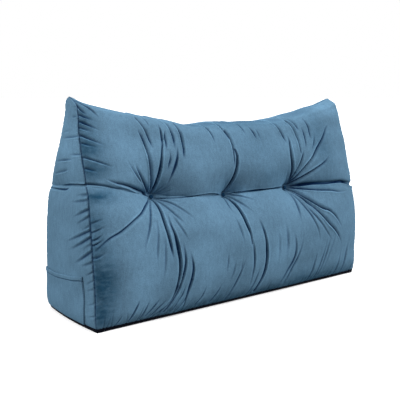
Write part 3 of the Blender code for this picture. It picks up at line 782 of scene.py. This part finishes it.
def beside_path(points, along, a, b):
    """How far places (a, b) lie from a path, on which side of it (1 or -1) and how far along it."""
    nearest = np.full(a.shape, np.inf)
    side, place = np.zeros((2, *a.shape))
    for i in range(len(points) - 1):
        start = points[i]
        run = points[i + 1] - start
        share = np.clip(((a - start[0]) * run[0] + (b - start[1]) * run[1]) / run.dot(run), 0, 1)
        off_a = a - start[0] - share * run[0]
        off_b = b - start[1] - share * run[1]
        distance = np.hypot(off_a, off_b)
        closer = distance < nearest
        nearest = np.where(closer, distance, nearest)
        side = np.where(closer, np.sign(run[0] * off_b - run[1] * off_a), side)
        place = np.where(closer, along[i] + share * (along[i + 1] - along[i]), place)
    return nearest, side, place


def crease_relief(creases, across, up):
    """How far creases press a panel in (below 0) or raise it (above 0), and the painted shade along their
    bottoms, at the points across and up the panel."""
    lines, troughs, ridges = np.zeros((3, *across.shape))
    for crease in creases:
        points, along = path_points(crease.path)
        reach = CREASE_REACH * crease.width * MM
        low, high = points.min(0) - reach, points.max(0) + reach
        near = (across > low[0]) & (across < high[0]) & (up > low[1]) & (up < high[1])
        distance, side, place = beside_path(points, along, across[near], up[near])
        depths = (crease.start, crease.middle, crease.end)
        depth = np.maximum(curve((0, 0.5, 1), depths, place), 0) * MM * DEPTH_SHARE
        rolled = side * crease.lip > 0
        flank, lip, line_share = (np.where(rolled, *shares) for shares in (FLANKS, LIPS, LINE_WIDTHS))
        width = flank * crease.width * MM * (TIP_WIDTH + DEEP_WIDTH * depth / (max(depths) * MM))
        off = np.sqrt((distance / width) ** 2 + SOFT_TIP**2)
        troughs[near] += (depth * np.exp(-off)) ** MERGING
        ridges[near] += (depth * lip * np.exp(-((off - LIP_PLACE) ** 2))) ** MERGING
        line = np.exp(-((distance / (line_share * crease.width * MM)) ** 2))
        line *= np.clip(depth / LINE_DEPTH, 0, 1) ** LINE_POWER
        lines[near] = np.maximum(lines[near], line)
    return ridges ** (1 / MERGING) - troughs ** (1 / MERGING), lines


def small_fold(draw, path, depth, width):
    """A fold that starts at a seam or a tuft and fades out, rolled up on either side."""
    return Crease(path, depth, FADING * depth, 0, width, draw.choice((-1, 1)))


def seam_place(seam, share):
    """The place at a share of a gathered seam, across and up its panel, in millimetres."""
    if len(seam) == 2:
        return tuple(a + share * (b - a) for a, b in zip(*seam))
    edge, low, high = seam
    return tuple(float(part) / MM for part in seam_point(edge, low + share * (high - low))[1:])


def gathers(row):
    """Short uneven folds along a seam."""
    draw = random.Random(row.seed)
    length = 0
    for step in range(SEAM_STEPS):
        start = step / SEAM_STEPS
        length += math.dist(seam_place(row.seam, start), seam_place(row.seam, start + 1 / SEAM_STEPS))
    count = int(length / row.spacing)
    folds = []
    for number in range(count):
        x, z = seam_place(row.seam, (number + draw.uniform(*GATHER_PLACE)) / count)
        reach = draw.uniform(*GATHER_REACH)
        turn = draw.uniform(-GATHER_TURN, GATHER_TURN)
        across = row.inward[0] * reach - turn * row.inward[1]
        up = row.inward[1] * reach + turn * row.inward[0]
        path = [(x + share * across, z + share * up) for share in (-0.1, 0.5, 1)]
        depth = row.depth * draw.uniform(*GATHER_DEPTH)
        folds.append(small_fold(draw, path, depth, draw.uniform(*GATHER_WIDTH)))
    return folds


def fan_creases(fan, seed):
    """Fine uneven folds that fan out from a tuft."""
    draw = random.Random(seed)
    x, z = tuft_place("front", TUFT_X[fan.tuft])
    folds = []
    for number in range(fan.count):
        share = (number + draw.uniform(*FAN_PLACE)) / fan.count
        turn = math.radians(fan.start_turn + share * (fan.end_turn - fan.start_turn))
        outer = fan.outer * draw.uniform(*FAN_LENGTH)
        bend = math.radians(draw.uniform(-FAN_BEND, FAN_BEND))
        bends = ((fan.inner, turn), ((fan.inner + outer) / 2, turn + bend), (outer, turn + bend / 2))
        path = [(x + reach * math.cos(angle), z + reach * math.sin(angle)) for reach, angle in bends]
        folds.append(small_fold(draw, path, fan.depth * draw.uniform(*FAN_DEPTH), FAN_WIDTH))
    return folds


def tuft_place(edge, x):
    """Where a panel's cloth is drawn in at x, across and up, in millimetres."""
    return x / MM, float(tuft_height(edge, x)) / MM


def back_creases():
    """Folds that run out from each tuft of the back, and the belt between the tufts."""
    creases = []
    draw = random.Random(BACK_SEED)
    for tuft_x in TUFT_X:
        x, z = tuft_place("back", tuft_x)
        for turn, depth in zip(BACK_FOLD_TURNS, BACK_FOLD_DEPTHS):
            angle = math.radians(turn + draw.uniform(-BACK_FOLD_TURN, BACK_FOLD_TURN))
            ahead = (math.cos(angle), math.sin(angle))
            length = (BACK_FOLD_LENGTH + BACK_FOLD_GAIN * depth) * draw.uniform(*BACK_FOLD_LENGTHS)
            middle_bend = draw.uniform(-BACK_FOLD_BEND, BACK_FOLD_BEND)
            path = []
            for share, bend in ((0.06, 0), (0.5, middle_bend), (1, 0)):
                across = x + share * length * ahead[0] - bend * ahead[1]
                path.append((across, z + share * length * ahead[1] + bend * ahead[0]))
            deep = depth * draw.uniform(*BACK_FOLD_SHARES)
            creases.append(small_fold(draw, path, deep, draw.uniform(*BACK_FOLD_WIDTHS)))
    stops = (-HALF_LENGTH, *TUFT_X, HALF_LENGTH)
    for start, end in zip(stops, stops[1:]):
        creases.append(Crease([tuft_place("back", x) for x in np.linspace(start, end, 4)], *BACK_BELT))
    return creases


def panel_creases():
    """Every panel's creases: the listed ones, the folds of its tufts and the gathers of its seams."""
    creases = {
        "front": list(FRONT_CREASES),
        "back": back_creases(),
        "left": list(LEFT_CREASES),
        "right": list(RIGHT_CREASES),
    }
    for seed, fan in enumerate(FANS, 1):
        creases["front"] += fan_creases(fan, seed)
    for row in GATHER_ROWS:
        creases[row.panel] += gathers(row)
    return creases


def from_seams(points):
    """How far each point of a grid lies from the nearest seam, along the cloth."""
    across = np.linalg.norm(np.diff(points, axis=1), axis=-1)
    up = np.linalg.norm(np.diff(points, axis=0), axis=-1)
    left = np.pad(np.cumsum(across, 1), ((0, 0), (1, 0)))
    bottom = np.pad(np.cumsum(up, 0), ((1, 0), (0, 0)))
    return np.minimum.reduce((left, left[:, -1:] - left, bottom, bottom[-1:] - bottom))


def dress(points, across, up, outward, creases, free):
    """A panel with its creases, which fade out at its seams, and the painted shade lines at their bottoms."""
    relief, lines = crease_relief(creases, across, up)
    hold = np.clip(from_seams(points) / SEAM_HOLD, 0, 1) * free
    return points + grid_normals(points, outward) * (relief * hold)[..., None], lines * hold


def nap_and_painted_light(name, across, up):
    """How dark a panel's velvet is painted: up to 1, and below 0 where it is paler; partly the pile's own
    tone, partly painted shade and painted light.
    """
    bright = np.ones(across.shape)
    for patch in NAP_AND_PAINTED_LIGHT_PATCHES.get(name, ()):
        off_across = (across / MM - patch.across) / patch.wide
        off_up = (up / MM - patch.height) / patch.high
        bright *= 1 - patch.dark * np.exp(-(off_across**2) - off_up**2)
    return 1 - bright


def painted_tuft_shade(edge, x, z):
    """Painted shade at the bottoms of the tufts."""
    return np.maximum.reduce([np.exp(-((away / TUFT_LINE) ** 2)) for away in from_tufts(edge, x, z)])


def painted_turned_edge_shade(points):
    """Painted shade on the front where it turns over to its top seam and to its right one."""
    normals = grid_normals(points, (0, -1, 0))
    up = np.clip((normals[..., 2] - TURNED_UP) / TURNED_UP_RUN, 0, 1)
    up[: int(TURNED_START * (ROWS + 1))] = 0
    right = np.clip((normals[..., 0] - TURNED_RIGHT) / TURNED_RIGHT_RUN, 0, 1)
    right[:, : int(TURNED_START * (COLUMNS + 1))] = 0
    return np.maximum(TURNED_UP_LINE * up, TURNED_RIGHT_LINE * right)


def dressed_panels():
    """Each panel's grid of points, its painted shade lines, its pile's darker and paler tone, partly its own
    and partly painted shade and light, and whether its faces are turned over to point out."""
    creases = panel_creases()
    for edge, face in FACES.items():
        points, x, z = face_panel(edge)
        free = clear_of_tufts(edge, x, z, CREASE_START, CREASE_RUN)
        points, lines = dress(points, x, z, (0, face.outward, 0), creases[edge], free)
        lines = np.maximum(lines, painted_tuft_shade(edge, x, z))
        if edge == "front":
            lines = np.maximum(lines, painted_turned_edge_shade(points))
        yield points, lines, nap_and_painted_light(edge, x, z), edge == "back"
    for name, end in (("left", -1), ("right", 1)):
        points = side_panel(end)
        points, lines = dress(points, points[..., 1], points[..., 2], (end, 0, 0), creases[name], 1)
        yield points, lines, nap_and_painted_light(name, points[..., 1], points[..., 2]), name == "left"
    points = base_panel()
    yield points, np.zeros(points.shape[:2]), np.zeros(points.shape[:2]), True


def paint(mesh, name, values):
    """Keep a number for each of a mesh's points, for the velvet to read."""
    mesh.attributes.new(name, "FLOAT", "POINT").data.foreach_set("value", values)


def sew(panels, shift):
    """One closed mesh of the panels' grids, welded at the seams. Its points keep their distance from their
    panel's seams, the painted shade of their fold's and seam's line, and their pile's darker and paler tone,
    partly painted shade and light."""
    points, faces, seams, lines, naps_and_painted_light = [], [], [], [], []
    count = 0
    for grid, line, dark, turned in panels:
        grid = grid + shift
        seam = from_seams(grid)
        # Each seam's dark line: partly the join itself, partly painted shade, wider on the back
        seam_width = SEAM_LINE_WIDTH * (1 + (grid[..., 1] > 0))
        faces += grid_quads(*seam.shape, first=count, turned=turned)
        points.append(grid.reshape(-1, 3))
        seams.append(seam.ravel())
        lines.append(np.maximum(line, SEAM_LINE * np.exp(-((seam / seam_width) ** 2))).ravel())
        naps_and_painted_light.append(dark.ravel())
        count += seam.size
    mesh = bpy.data.meshes.new("cushion_cover")
    mesh.from_pydata(np.concatenate(points).tolist(), [], faces)
    for name, values in (("seam", seams), ("line", lines), ("nap_and_painted_light", naps_and_painted_light)):
        paint(mesh, name, np.concatenate(values))
    weld = bmesh.new()
    weld.from_mesh(mesh)
    bmesh.ops.remove_doubles(weld, verts=weld.verts, dist=WELD)
    weld.to_mesh(mesh)
    weld.free()
    return mesh


def read(data, name, width, kind=float):
    """A mesh collection's values as an array with a row for each element."""
    values = np.empty(len(data) * width, np.int32 if kind is int else np.float32)
    data.foreach_get(name, values)
    return values.reshape(-1, width).astype(kind)


def smoothed(points, edges, rounds):
    """The points after rounds of moving each one halfway to the mean of its neighbours."""
    a, b = edges.T
    size = len(points)
    share = 1 / np.maximum(np.bincount(a, minlength=size) + np.bincount(b, minlength=size), 1)
    for _ in range(rounds):
        means = []
        for values in points.T:
            total = np.bincount(a, values[b], size) + np.bincount(b, values[a], size)
            means.append(total * share)
        points = (points + np.stack(means, -1)) / 2
    return points


def unevenness(points):
    """Soft seeded waves through space, which lift and lower the cloth a little."""
    draw = np.random.default_rng(UNEVEN_SEED)
    height = np.zeros(len(points))
    for _ in range(UNEVEN_WAVES):
        ahead = draw.normal(size=3)
        ahead *= 2 * math.pi / (np.linalg.norm(ahead) * draw.uniform(*UNEVEN_LENGTHS))
        height += UNEVEN_HEIGHT * np.sin(points @ ahead + draw.uniform(0, 2 * math.pi))
    return height


def new_object(name, data):
    made = bpy.data.objects.new(name, data)
    bpy.context.scene.collection.objects.link(made)
    return made


def settle(mesh, shift):
    """Sink the seams and lift the cloth between them unevenly, and keep how deep each point's hollow is, for
    the velvet's painted shade and highlight.
    """
    points = read(mesh.vertices, "co", 3)
    normals = read(mesh.vertex_normals, "vector", 3)
    seam = read(mesh.attributes["seam"].data, "value", 1)
    height = points[:, 2:]
    lying = (height < ON_FLOOR) & (seam > SEAM_REACH)
    ends = (-HALF_LENGTH, HALF_LENGTH)
    corners = [(end, *seam_point("front", rise)[1:]) for end in ends for rise in (0, 1)]
    from_corner = np.linalg.norm(points[:, None] - (np.array(corners) + shift), axis=-1).min(1)[:, None]
    sink = SEAM_SINK * np.exp(-((seam / SEAM_REACH) ** 2)) * np.clip(from_corner / CORNER_HOLD, 0, 1)
    sink *= FOOT_SINK_SHARE + (1 - FOOT_SINK_SHARE) * np.clip(height / CORNER_HOLD, 0, 1)
    sink += BASE_GROOVE * np.exp(-(((height - BASE_EDGE) / BASE_GROOVE_WIDTH) ** 2))
    lift = unevenness(points)[:, None] * np.clip(seam / UNEVEN_RUN - UNEVEN_START, 0, 1)
    points += normals * np.where(lying, 0, lift - sink)
    points[:, 2] = np.maximum(points[:, 2], 0)
    smooth = smoothed(points, read(mesh.edges, "vertices", 2, int), HOLLOW_ROUNDS)
    hollow = ((smooth - points) * normals).sum(1) / HOLLOW_DEPTH
    hollow *= SEAM_SHADE + (1 - SEAM_SHADE) * np.clip(seam[:, 0] / SEAM_SHADE_REACH, 0, 1)
    mesh.vertices.foreach_set("co", points.ravel())
    paint(mesh, "hollow", hollow)


def add_cushion(shift):
    """The stuffed cover, thinned to its triangles and cut where the black base cloth, with its painted
    contact shade, begins.
    """
    mesh = sew(dressed_panels(), shift)
    settle(mesh, shift)
    cushion = new_object("cushion_cover", mesh)
    thin = cushion.modifiers.new("Thin", "DECIMATE")
    thin.ratio = TRIANGLES / (2 * len(mesh.polygons))
    graph = bpy.context.evaluated_depsgraph_get()
    cushion.data = bpy.data.meshes.new_from_object(cushion.evaluated_get(graph))
    cushion.modifiers.clear()
    cut = bmesh.new()
    cut.from_mesh(cushion.data)
    every = [*cut.verts, *cut.edges, *cut.faces]
    bmesh.ops.bisect_plane(cut, geom=every, dist=WELD, plane_co=(0, 0, BASE_EDGE), plane_no=(0, 0, 1))
    # Faces below the cut take the black cloth, whose band round the foot is painted shade for the contact
    # shadow
    for face in cut.faces:
        face.material_index = int(face.calc_center_median().z < BASE_EDGE)
    cut.to_mesh(cushion.data)
    cut.free()
    cushion.data.shade_smooth()
    return cushion


def new_piece(name, points, faces, material, replaced=()):
    """A mesh piece of the cushion, riding on its one body."""
    mesh = bpy.data.meshes.new(name)
    mesh.from_pydata(np.asarray(points).reshape(-1, 3).tolist(), [], faces)
    mesh.shade_smooth()
    mesh.materials.append(material)
    piece = new_object(name, mesh)
    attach(piece, "root")
    if replaced:
        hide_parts(*replaced)
    return piece


def grid_quads(rows, columns, closed=False, first=0, turned=False):
    """The quads of a grid of points, whose columns may close into a ring."""
    at = np.arange(first, first + rows * columns).reshape(rows, columns)
    if closed:
        at = np.concatenate((at, at[:, :1]), 1)
    quads = np.stack((at[:-1, :-1], at[:-1, 1:], at[1:, 1:], at[1:, :-1]), -1).reshape(-1, 4)
    return (quads[:, ::-1] if turned else quads).tolist()


def closed_sheet(outer, inner):
    """The points and faces of a cloth's outer and inner side, joined round its edge."""
    rows, columns = outer.shape[:2]
    count = rows * columns
    faces = grid_quads(rows, columns, turned=True) + grid_quads(rows, columns, first=count)
    at = np.arange(count).reshape(rows, columns)
    rim = np.concatenate((at[0, :-1], at[:-1, -1], at[-1, :0:-1], at[:0:-1, 0]))
    for here, there in zip(rim.tolist(), np.roll(rim, -1).tolist()):
        faces.append([here, there, there + count, here + count])
    return np.concatenate((outer.reshape(-1, 3), inner.reshape(-1, 3))), faces


def softened(values, rounds):
    """A grid's values after rounds of averaging each with its neighbours."""
    for _ in range(rounds):
        wide = np.pad(values, ((1, 1), (1, 1), (0, 0)), mode="edge")
        values = (wide[:-2, 1:-1] + wide[2:, 1:-1] + wide[1:-1, :-2] + wide[1:-1, 2:] + 4 * values) / 8
    return values


def pocket_base(cushion, shift):
    """The side panel's cloth under the pocket, as a grid: its points, how far they lie from the pocket's
    mouth, from its nearer side and from its front one, and their share of the way to the back."""
    tree = BVHTree.FromObject(cushion, bpy.context.evaluated_depsgraph_get())
    u, w = even_grid(POCKET_COLUMNS, POCKET_ROWS)
    (top_y, top_z), (edge_z, edge_y) = zip(*POCKET_TOP), zip(*POCKET_FRONT)
    back = table(SEAM_ROWS, "rise", "back_y", POCKET_RISE) / MM - POCKET_BACK_INSET
    front = curve(edge_z, edge_y, POCKET_FOOT + w * (top_z[0] - POCKET_FOOT))
    y = front + u * (back - front)
    mouth = curve(top_y, top_z, y)
    z = POCKET_FOOT + w * (mouth - POCKET_FOOT)
    points = np.empty((*u.shape, 3))
    for place in np.ndindex(u.shape):
        start = Vector((-2 * HALF_LENGTH, y[place] * MM + shift[1], z[place] * MM))
        points[place] = tree.ray_cast(start, Vector((1, 0, 0)))[0]
    from_sides = np.minimum(y - front, back - y) * MM
    return softened(points, POCKET_ROUNDS), (mouth - z) * MM, from_sides, (y - front) * MM, u


def add_pocket(cushion, shift, material, thread):
    """The patch pocket: hemmed along its mouth, which stands a little open, and stitched down round it."""
    base, from_top, from_sides, from_front, u = pocket_base(cushion, shift)
    normals = grid_normals(base, (-1, 0, 0))
    lift = MOUTH_LIFT * np.sin(math.pi * u) ** MOUTH_POWER * np.exp(-((from_top / MOUTH_REACH) ** 2))
    roll = np.sqrt(np.clip(np.minimum(from_top, from_sides) / EDGE_ROLL, 0, 1))
    hem = HEM_CLOTH * np.clip((HEM_HEIGHT - from_top) / HEM_STEP, 0, 1)
    seam = np.exp(-(((from_top - HEM_HEIGHT) / HEM_SEAM) ** 2))
    side_seam = np.exp(-(((from_front - EDGE_STITCH) / EDGE_SEAM) ** 2)) * (from_top > EDGE_STITCH)
    thickness = (POCKET_CLOTH + hem) * (RIM_SHARE + ROLL_SHARE * roll)
    thickness -= HEM_GROOVE * np.maximum(seam, EDGE_GROOVE_SHARE * side_seam)
    inner = base + normals * (POCKET_GAP + lift)[..., None]
    outer = inner + normals * np.maximum(thickness, POCKET_THINNEST)[..., None]
    points, faces = closed_sheet(outer, inner)
    pocket = new_piece("pocket_cloth", points, faces, material, ["side_pocket"])
    # Painted shade along the hem's seam and the front edge's seam, and over the pocket's whole inner side
    paint(pocket.data, "line", np.concatenate((np.maximum(seam, side_seam).ravel(), np.ones(seam.size))))
    stitches = add_stitches(outer, from_top, from_front, thread)
    return pocket


def row_points(grid, key, level):
    """A line of points across a grid's columns where a key grid, falling upwards, passes a level."""
    line = []
    for column in range(grid.shape[1]):
        keys = key[::-1, column]
        line.append([np.interp(level, keys, grid[::-1, column, axis]) for axis in range(3)])
    return np.array(line)


def stitch_points(centre, ahead):
    """One stitch's rings of points round its thread, which lies along ahead and bulges to the left."""
    out = np.array((-1.0, 0, 0)) + ahead[0] * ahead
    out /= np.linalg.norm(out)
    across = np.cross(ahead, out)
    length, width, height = (size / 2 for size in STITCH)
    points = []
    for ring in range(STITCH_RINGS):
        angle = math.pi * (ring + STITCH_TIP) / (STITCH_RINGS - 1 + 2 * STITCH_TIP)
        middle = centre + out * STITCH_RISE - ahead * math.cos(angle) * length
        for turn in np.linspace(0, 2 * math.pi, STITCH_TURNS, endpoint=False):
            off_middle = across * math.cos(turn) * width + out * math.sin(turn) * height
            points.append(middle + off_middle * math.sin(angle))
    return points


def add_stitches(outer, from_top, from_front, material):
    """The pocket's topstitching, each stitch a short thread: along the hem and down the front edge."""
    hem = row_points(outer, from_top, HEM_HEIGHT)
    column = int(np.argmin(np.abs(from_front[0] - EDGE_STITCH)))
    side = outer[from_top[:, column] > 2 * EDGE_STITCH, column]
    points, faces = [], []
    for line in (hem, side):
        along = np.concatenate(([0], np.cumsum(np.linalg.norm(np.diff(line, axis=0), axis=1))))
        for middle in np.arange(STITCH_PITCH, along[-1] - STITCH_PITCH / 2, STITCH_PITCH):
            centre, beyond = np.stack([np.interp((middle, middle + MM), along, part) for part in line.T], 1)
            ahead = (beyond - centre) / np.linalg.norm(beyond - centre)
            faces += grid_quads(STITCH_RINGS, STITCH_TURNS, closed=True, first=len(points))
            faces.append(list(range(len(points), len(points) + STITCH_TURNS))[::-1])
            points += stitch_points(centre, ahead)
            faces.append(list(range(len(points) - STITCH_TURNS, len(points))))
    return new_piece("pocket_stitches", points, faces, material)


def add_button(number, x, material):
    """A small button covered in the same cloth, painted dark with the shade at its tuft's bottom, and pleated
    in round its rim.
    """
    low, high = (np.array(corner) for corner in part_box(f"tuft_button_{number}"))
    rise = belt_rise("front", x) + np.array((-BUTTON_SEAT_RISE, BUTTON_SEAT_RISE))
    _, y, z = face_point("front", np.full(2, 0.5 + x / (2 * HALF_LENGTH)), rise)
    lean = math.atan2(y[1] - y[0], z[1] - z[0])
    out = np.array((0, -math.cos(lean), math.sin(lean)))
    up = np.array((0, math.sin(lean), math.cos(lean)))
    turns = 5 * BUTTON_PLEATS
    slopes = np.linspace(BUTTON_TIP, math.pi - BUTTON_TIP, BUTTON_RINGS)
    slope, turn = np.meshgrid(slopes, np.arange(turns) * 2 * math.pi / turns, indexing="ij")
    pleat = 1 + PLEAT_DEPTH * np.cos(BUTTON_PLEATS * turn) * np.sin(slope) ** PLEAT_POWER
    sideways = BUTTON_SIZE[0] * np.sin(slope) ** BUTTON_POWER * pleat
    height = BUTTON_SIZE[1] * np.cos(slope)
    across, upwards = sideways * np.cos(turn), sideways * np.sin(turn)
    points = (low + high) / 2 + across[..., None] * np.array((1, 0, 0)) + upwards[..., None] * up
    points = points + height[..., None] * out
    faces = grid_quads(BUTTON_RINGS, turns, closed=True, turned=True)
    faces.append(list(range(turns)))
    faces.append(list(range((BUTTON_RINGS - 1) * turns, BUTTON_RINGS * turns))[::-1])
    return new_piece(f"button_{number}", points, faces, material, [f"tuft_button_{number}"])


def plug(node, inputs):
    """Give a shader node's inputs their values, or link them to other nodes' outputs."""
    for name, value in inputs.items():
        if isinstance(value, bpy.types.NodeSocket):
            node.id_data.links.new(value, node.inputs[name])
        else:
            node.inputs[name].default_value = value


def add_node(tree, kind, inputs=None, **settings):
    node = tree.nodes.new("ShaderNode" + kind)
    for name, value in settings.items():
        setattr(node, name, value)
    plug(node, inputs or {})
    return node


def new_material(name, inputs):
    """A material and its Principled shader with these inputs."""
    material = bpy.data.materials.new(name)
    material.use_nodes = True
    shader = material.node_tree.nodes["Principled BSDF"]
    plug(shader, inputs)
    return material, shader


def mixed(tree, share, first, second):
    """A colour between two, each of them a colour or another node's output."""
    first, second = (end if isinstance(end, bpy.types.NodeSocket) else (*end, 1) for end in (first, second))
    inputs = {"A": first, "B": second, "Factor": share}
    return add_node(tree, "Mix", inputs, data_type="RGBA").outputs["Result"]


def bump(tree, strength, distance, **inputs):
    return add_node(tree, "Bump", {"Strength": strength, "Distance": distance, **inputs}).outputs["Normal"]


def velvet(name, color, deep):
    """Cut velvet: a short soft pile, with painted shade where the cloth folds in, along its dark lines and in
    dark patches, and a painted highlight on its ridges and in pale patches.
    """
    material, shader = new_material(name, VELVET_SURFACE)
    tree = material.node_tree
    place = add_node(tree, "TexCoord").outputs["Object"]

    def noise(scale, detail, stretch=(1, 1, 1)):
        stretched = add_node(tree, "Mapping", {"Vector": place, "Scale": stretch}).outputs["Vector"]
        inputs = {"Vector": stretched, "Scale": scale, "Detail": detail}
        return add_node(tree, "TexNoise", inputs).outputs["Fac"]

    def ranged(value, low, high, least, most):
        span = {"Value": value, "From Min": low, "From Max": high, "To Min": least, "To Max": most}
        return add_node(tree, "MapRange", span).outputs["Result"]

    def product(first, second):
        return add_node(tree, "Math", {0: first, 1: second}, operation="MULTIPLY").outputs[0]

    def attribute(name):
        return add_node(tree, "Attribute", attribute_name=name).outputs["Fac"]

    hollow = attribute("hollow")
    pile = attribute("nap_and_painted_light")
    # Dark patches: partly the pile's tone, partly painted shade
    dark_nap_and_painted_shade = product(pile, ranged(noise(95, 4, (0.45, 1, 1)), 0.3, 0.66, 0.6, 1.1))
    cloth = mixed(tree, dark_nap_and_painted_shade, color, NAP_SHADE)
    # Painted shade in the hollows, by their depth
    painted_hollow_shade = mixed(tree, ranged(hollow, 0.2, 1.25, 0, 0.75), cloth, deep)
    # Painted shade lines along creases, tufts and seams
    painted_line_shade = mixed(tree, attribute("line"), painted_hollow_shade, LINE_SHADE)
    # Painted highlight on the ridges beside the creases
    painted_ridge_highlight = ranged(hollow, -0.9, -0.1, 1.35, 1)
    # Pale patches: partly the pile's tone, partly painted light
    pale_nap_and_painted_light = ranged(pile, -0.5, 0, 1.5, 1)
    blotches = ranged(noise(11, 3), 0.3, 0.7, 0.93, 1.07)
    streaks = ranged(noise(120, 3, (1, 1, 0.35)), 0.3, 0.7, 0.92, 1.08)
    grain = ranged(noise(420, 2), 0.3, 0.7, 0.86, 1.14)
    tone = product(product(product(blotches, streaks), product(painted_ridge_highlight, pale_nap_and_painted_light)), grain)
    toned = add_node(tree, "VectorMath", {0: painted_line_shade, "Scale": tone}, operation="SCALE").outputs[0]
    crush = bump(tree, 0.3, 0.003, Height=noise(55, 3))
    fuzz = bump(tree, 0.25, 0.0008, Height=noise(850, 2), Normal=crush)
    plug(shader, {"Base Color": toned, "Normal": fuzz})
    return material


def base_cloth_and_contact_shade():
    """The black base cloth: a plain close weave, dull and a little uneven in tone. Its band round the foot
    also stands in for the contact shadow, as painted shade.
    """
    material, shader = new_material("base_cloth_and_contact_shade", {"Roughness": 0.9, "Specular IOR Level": 0.05})
    tree = material.node_tree
    place = add_node(tree, "TexCoord").outputs["Object"]
    weave = add_node(tree, "TexNoise", {"Vector": place, "Scale": 900}).outputs["Fac"]
    tone = mixed(tree, weave, BASE_CLOTH_AND_CONTACT_SHADE, [2 * part for part in BASE_CLOTH_AND_CONTACT_SHADE])
    plug(shader, {"Base Color": tone, "Normal": bump(tree, 0.3, 0.0005, Height=weave)})
    return material


def add_dome():
    """Soft studio light: pale from above and from the sides, and dim from below. The camera sees it white."""
    world = bpy.data.worlds.new("studio")
    bpy.context.scene.world = world
    world.use_nodes = True
    tree = world.node_tree
    split = add_node(tree, "SeparateXYZ", {0: add_node(tree, "TexCoord").outputs["Generated"]})
    span = {"From Min": DOME_FOOT_HEIGHT, "From Max": DOME_RIM_HEIGHT, "To Min": DOME_FOOT}
    half = add_node(tree, "MapRange", span | {"Value": split.outputs["Z"]})
    glow = tree.nodes["Background"]
    plug(glow, {"Strength": DOME_STRENGTH, "Color": half.outputs["Result"]})
    white = add_node(tree, "Background", {"Color": (1, 1, 1, 1)})
    direct = add_node(tree, "LightPath").outputs["Is Camera Ray"]
    seen = add_node(tree, "MixShader", {"Fac": direct, 1: glow.outputs[0], 2: white.outputs[0]})
    plug(tree.nodes["World Output"], {"Surface": seen.outputs[0]})


def add_sun(name, source, strength):
    data = bpy.data.lights.new(name, "SUN")
    data.energy = strength
    data.angle = math.radians(SUN_SOFTNESS)
    new_object(name, data).rotation_euler = Vector(source).to_track_quat("Z", "Y").to_euler()


def add_floor():
    """A plain pale floor, which throws no light back on the cushion."""
    bpy.ops.mesh.primitive_plane_add(size=FLOOR_SIZE)
    floor = bpy.context.object
    floor.name = "floor"
    floor.visible_diffuse = False
    floor.data.materials.append(new_material("floor", FLOOR_SURFACE)[0])
    floor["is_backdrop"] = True


def add_camera(shift_y):
    """The photo's view: from the front left, a little above."""
    turn, tilt = math.radians(CAMERA_TURN), math.radians(CAMERA_TILT)
    back = Vector((math.sin(turn) * math.cos(tilt), -math.cos(turn) * math.cos(tilt), math.sin(tilt)))
    camera = new_object("camera", bpy.data.cameras.new("camera"))
    camera.location = Vector((CAMERA_TARGET_X, shift_y, CAMERA_TARGET_Z)) + back * CAMERA_DISTANCE
    camera.rotation_euler = (-back).to_track_quat("-Z", "Y").to_euler()
    camera.data.sensor_width = CAMERA_SENSOR
    camera.data.lens = CAMERA_LENS
    bpy.context.scene.camera = camera


base_front = min(vert.co.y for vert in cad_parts["cushion"].data.vertices if vert.co.z < ON_FLOOR)
shift_y = base_front - SEAM_ROWS[0].front_y
shift = np.array((0, shift_y, 0))
cushion = add_cushion(shift)
cushion.data.materials.append(velvet("velvet", VELVET, FOLD_SHADE))
cushion.data.materials.append(base_cloth_and_contact_shade())
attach(cushion, "root")
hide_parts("cushion")
pocket_velvet = velvet("pocket_velvet", VELVET, FOLD_SHADE)
add_pocket(cushion, shift, pocket_velvet, velvet("thread", THREAD, THREAD))
button_velvet = velvet("button_velvet", BUTTON_VELVET_PAINTED_SHADE, FOLD_SHADE)
for number, x in enumerate(TUFT_X, 1):
    add_button(number, x, button_velvet)

add_camera(shift_y)
add_dome()
add_sun("right_light", source=(0.52, -0.58, 0.62), strength=2.7)
add_sun("left_light", source=(-0.72, 0.30, 0.45), strength=1.95)
bpy.context.scene.view_settings.view_transform = "Standard"
add_floor()

[[list(corner) for corner in box] for box in (cad_bounds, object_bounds())]
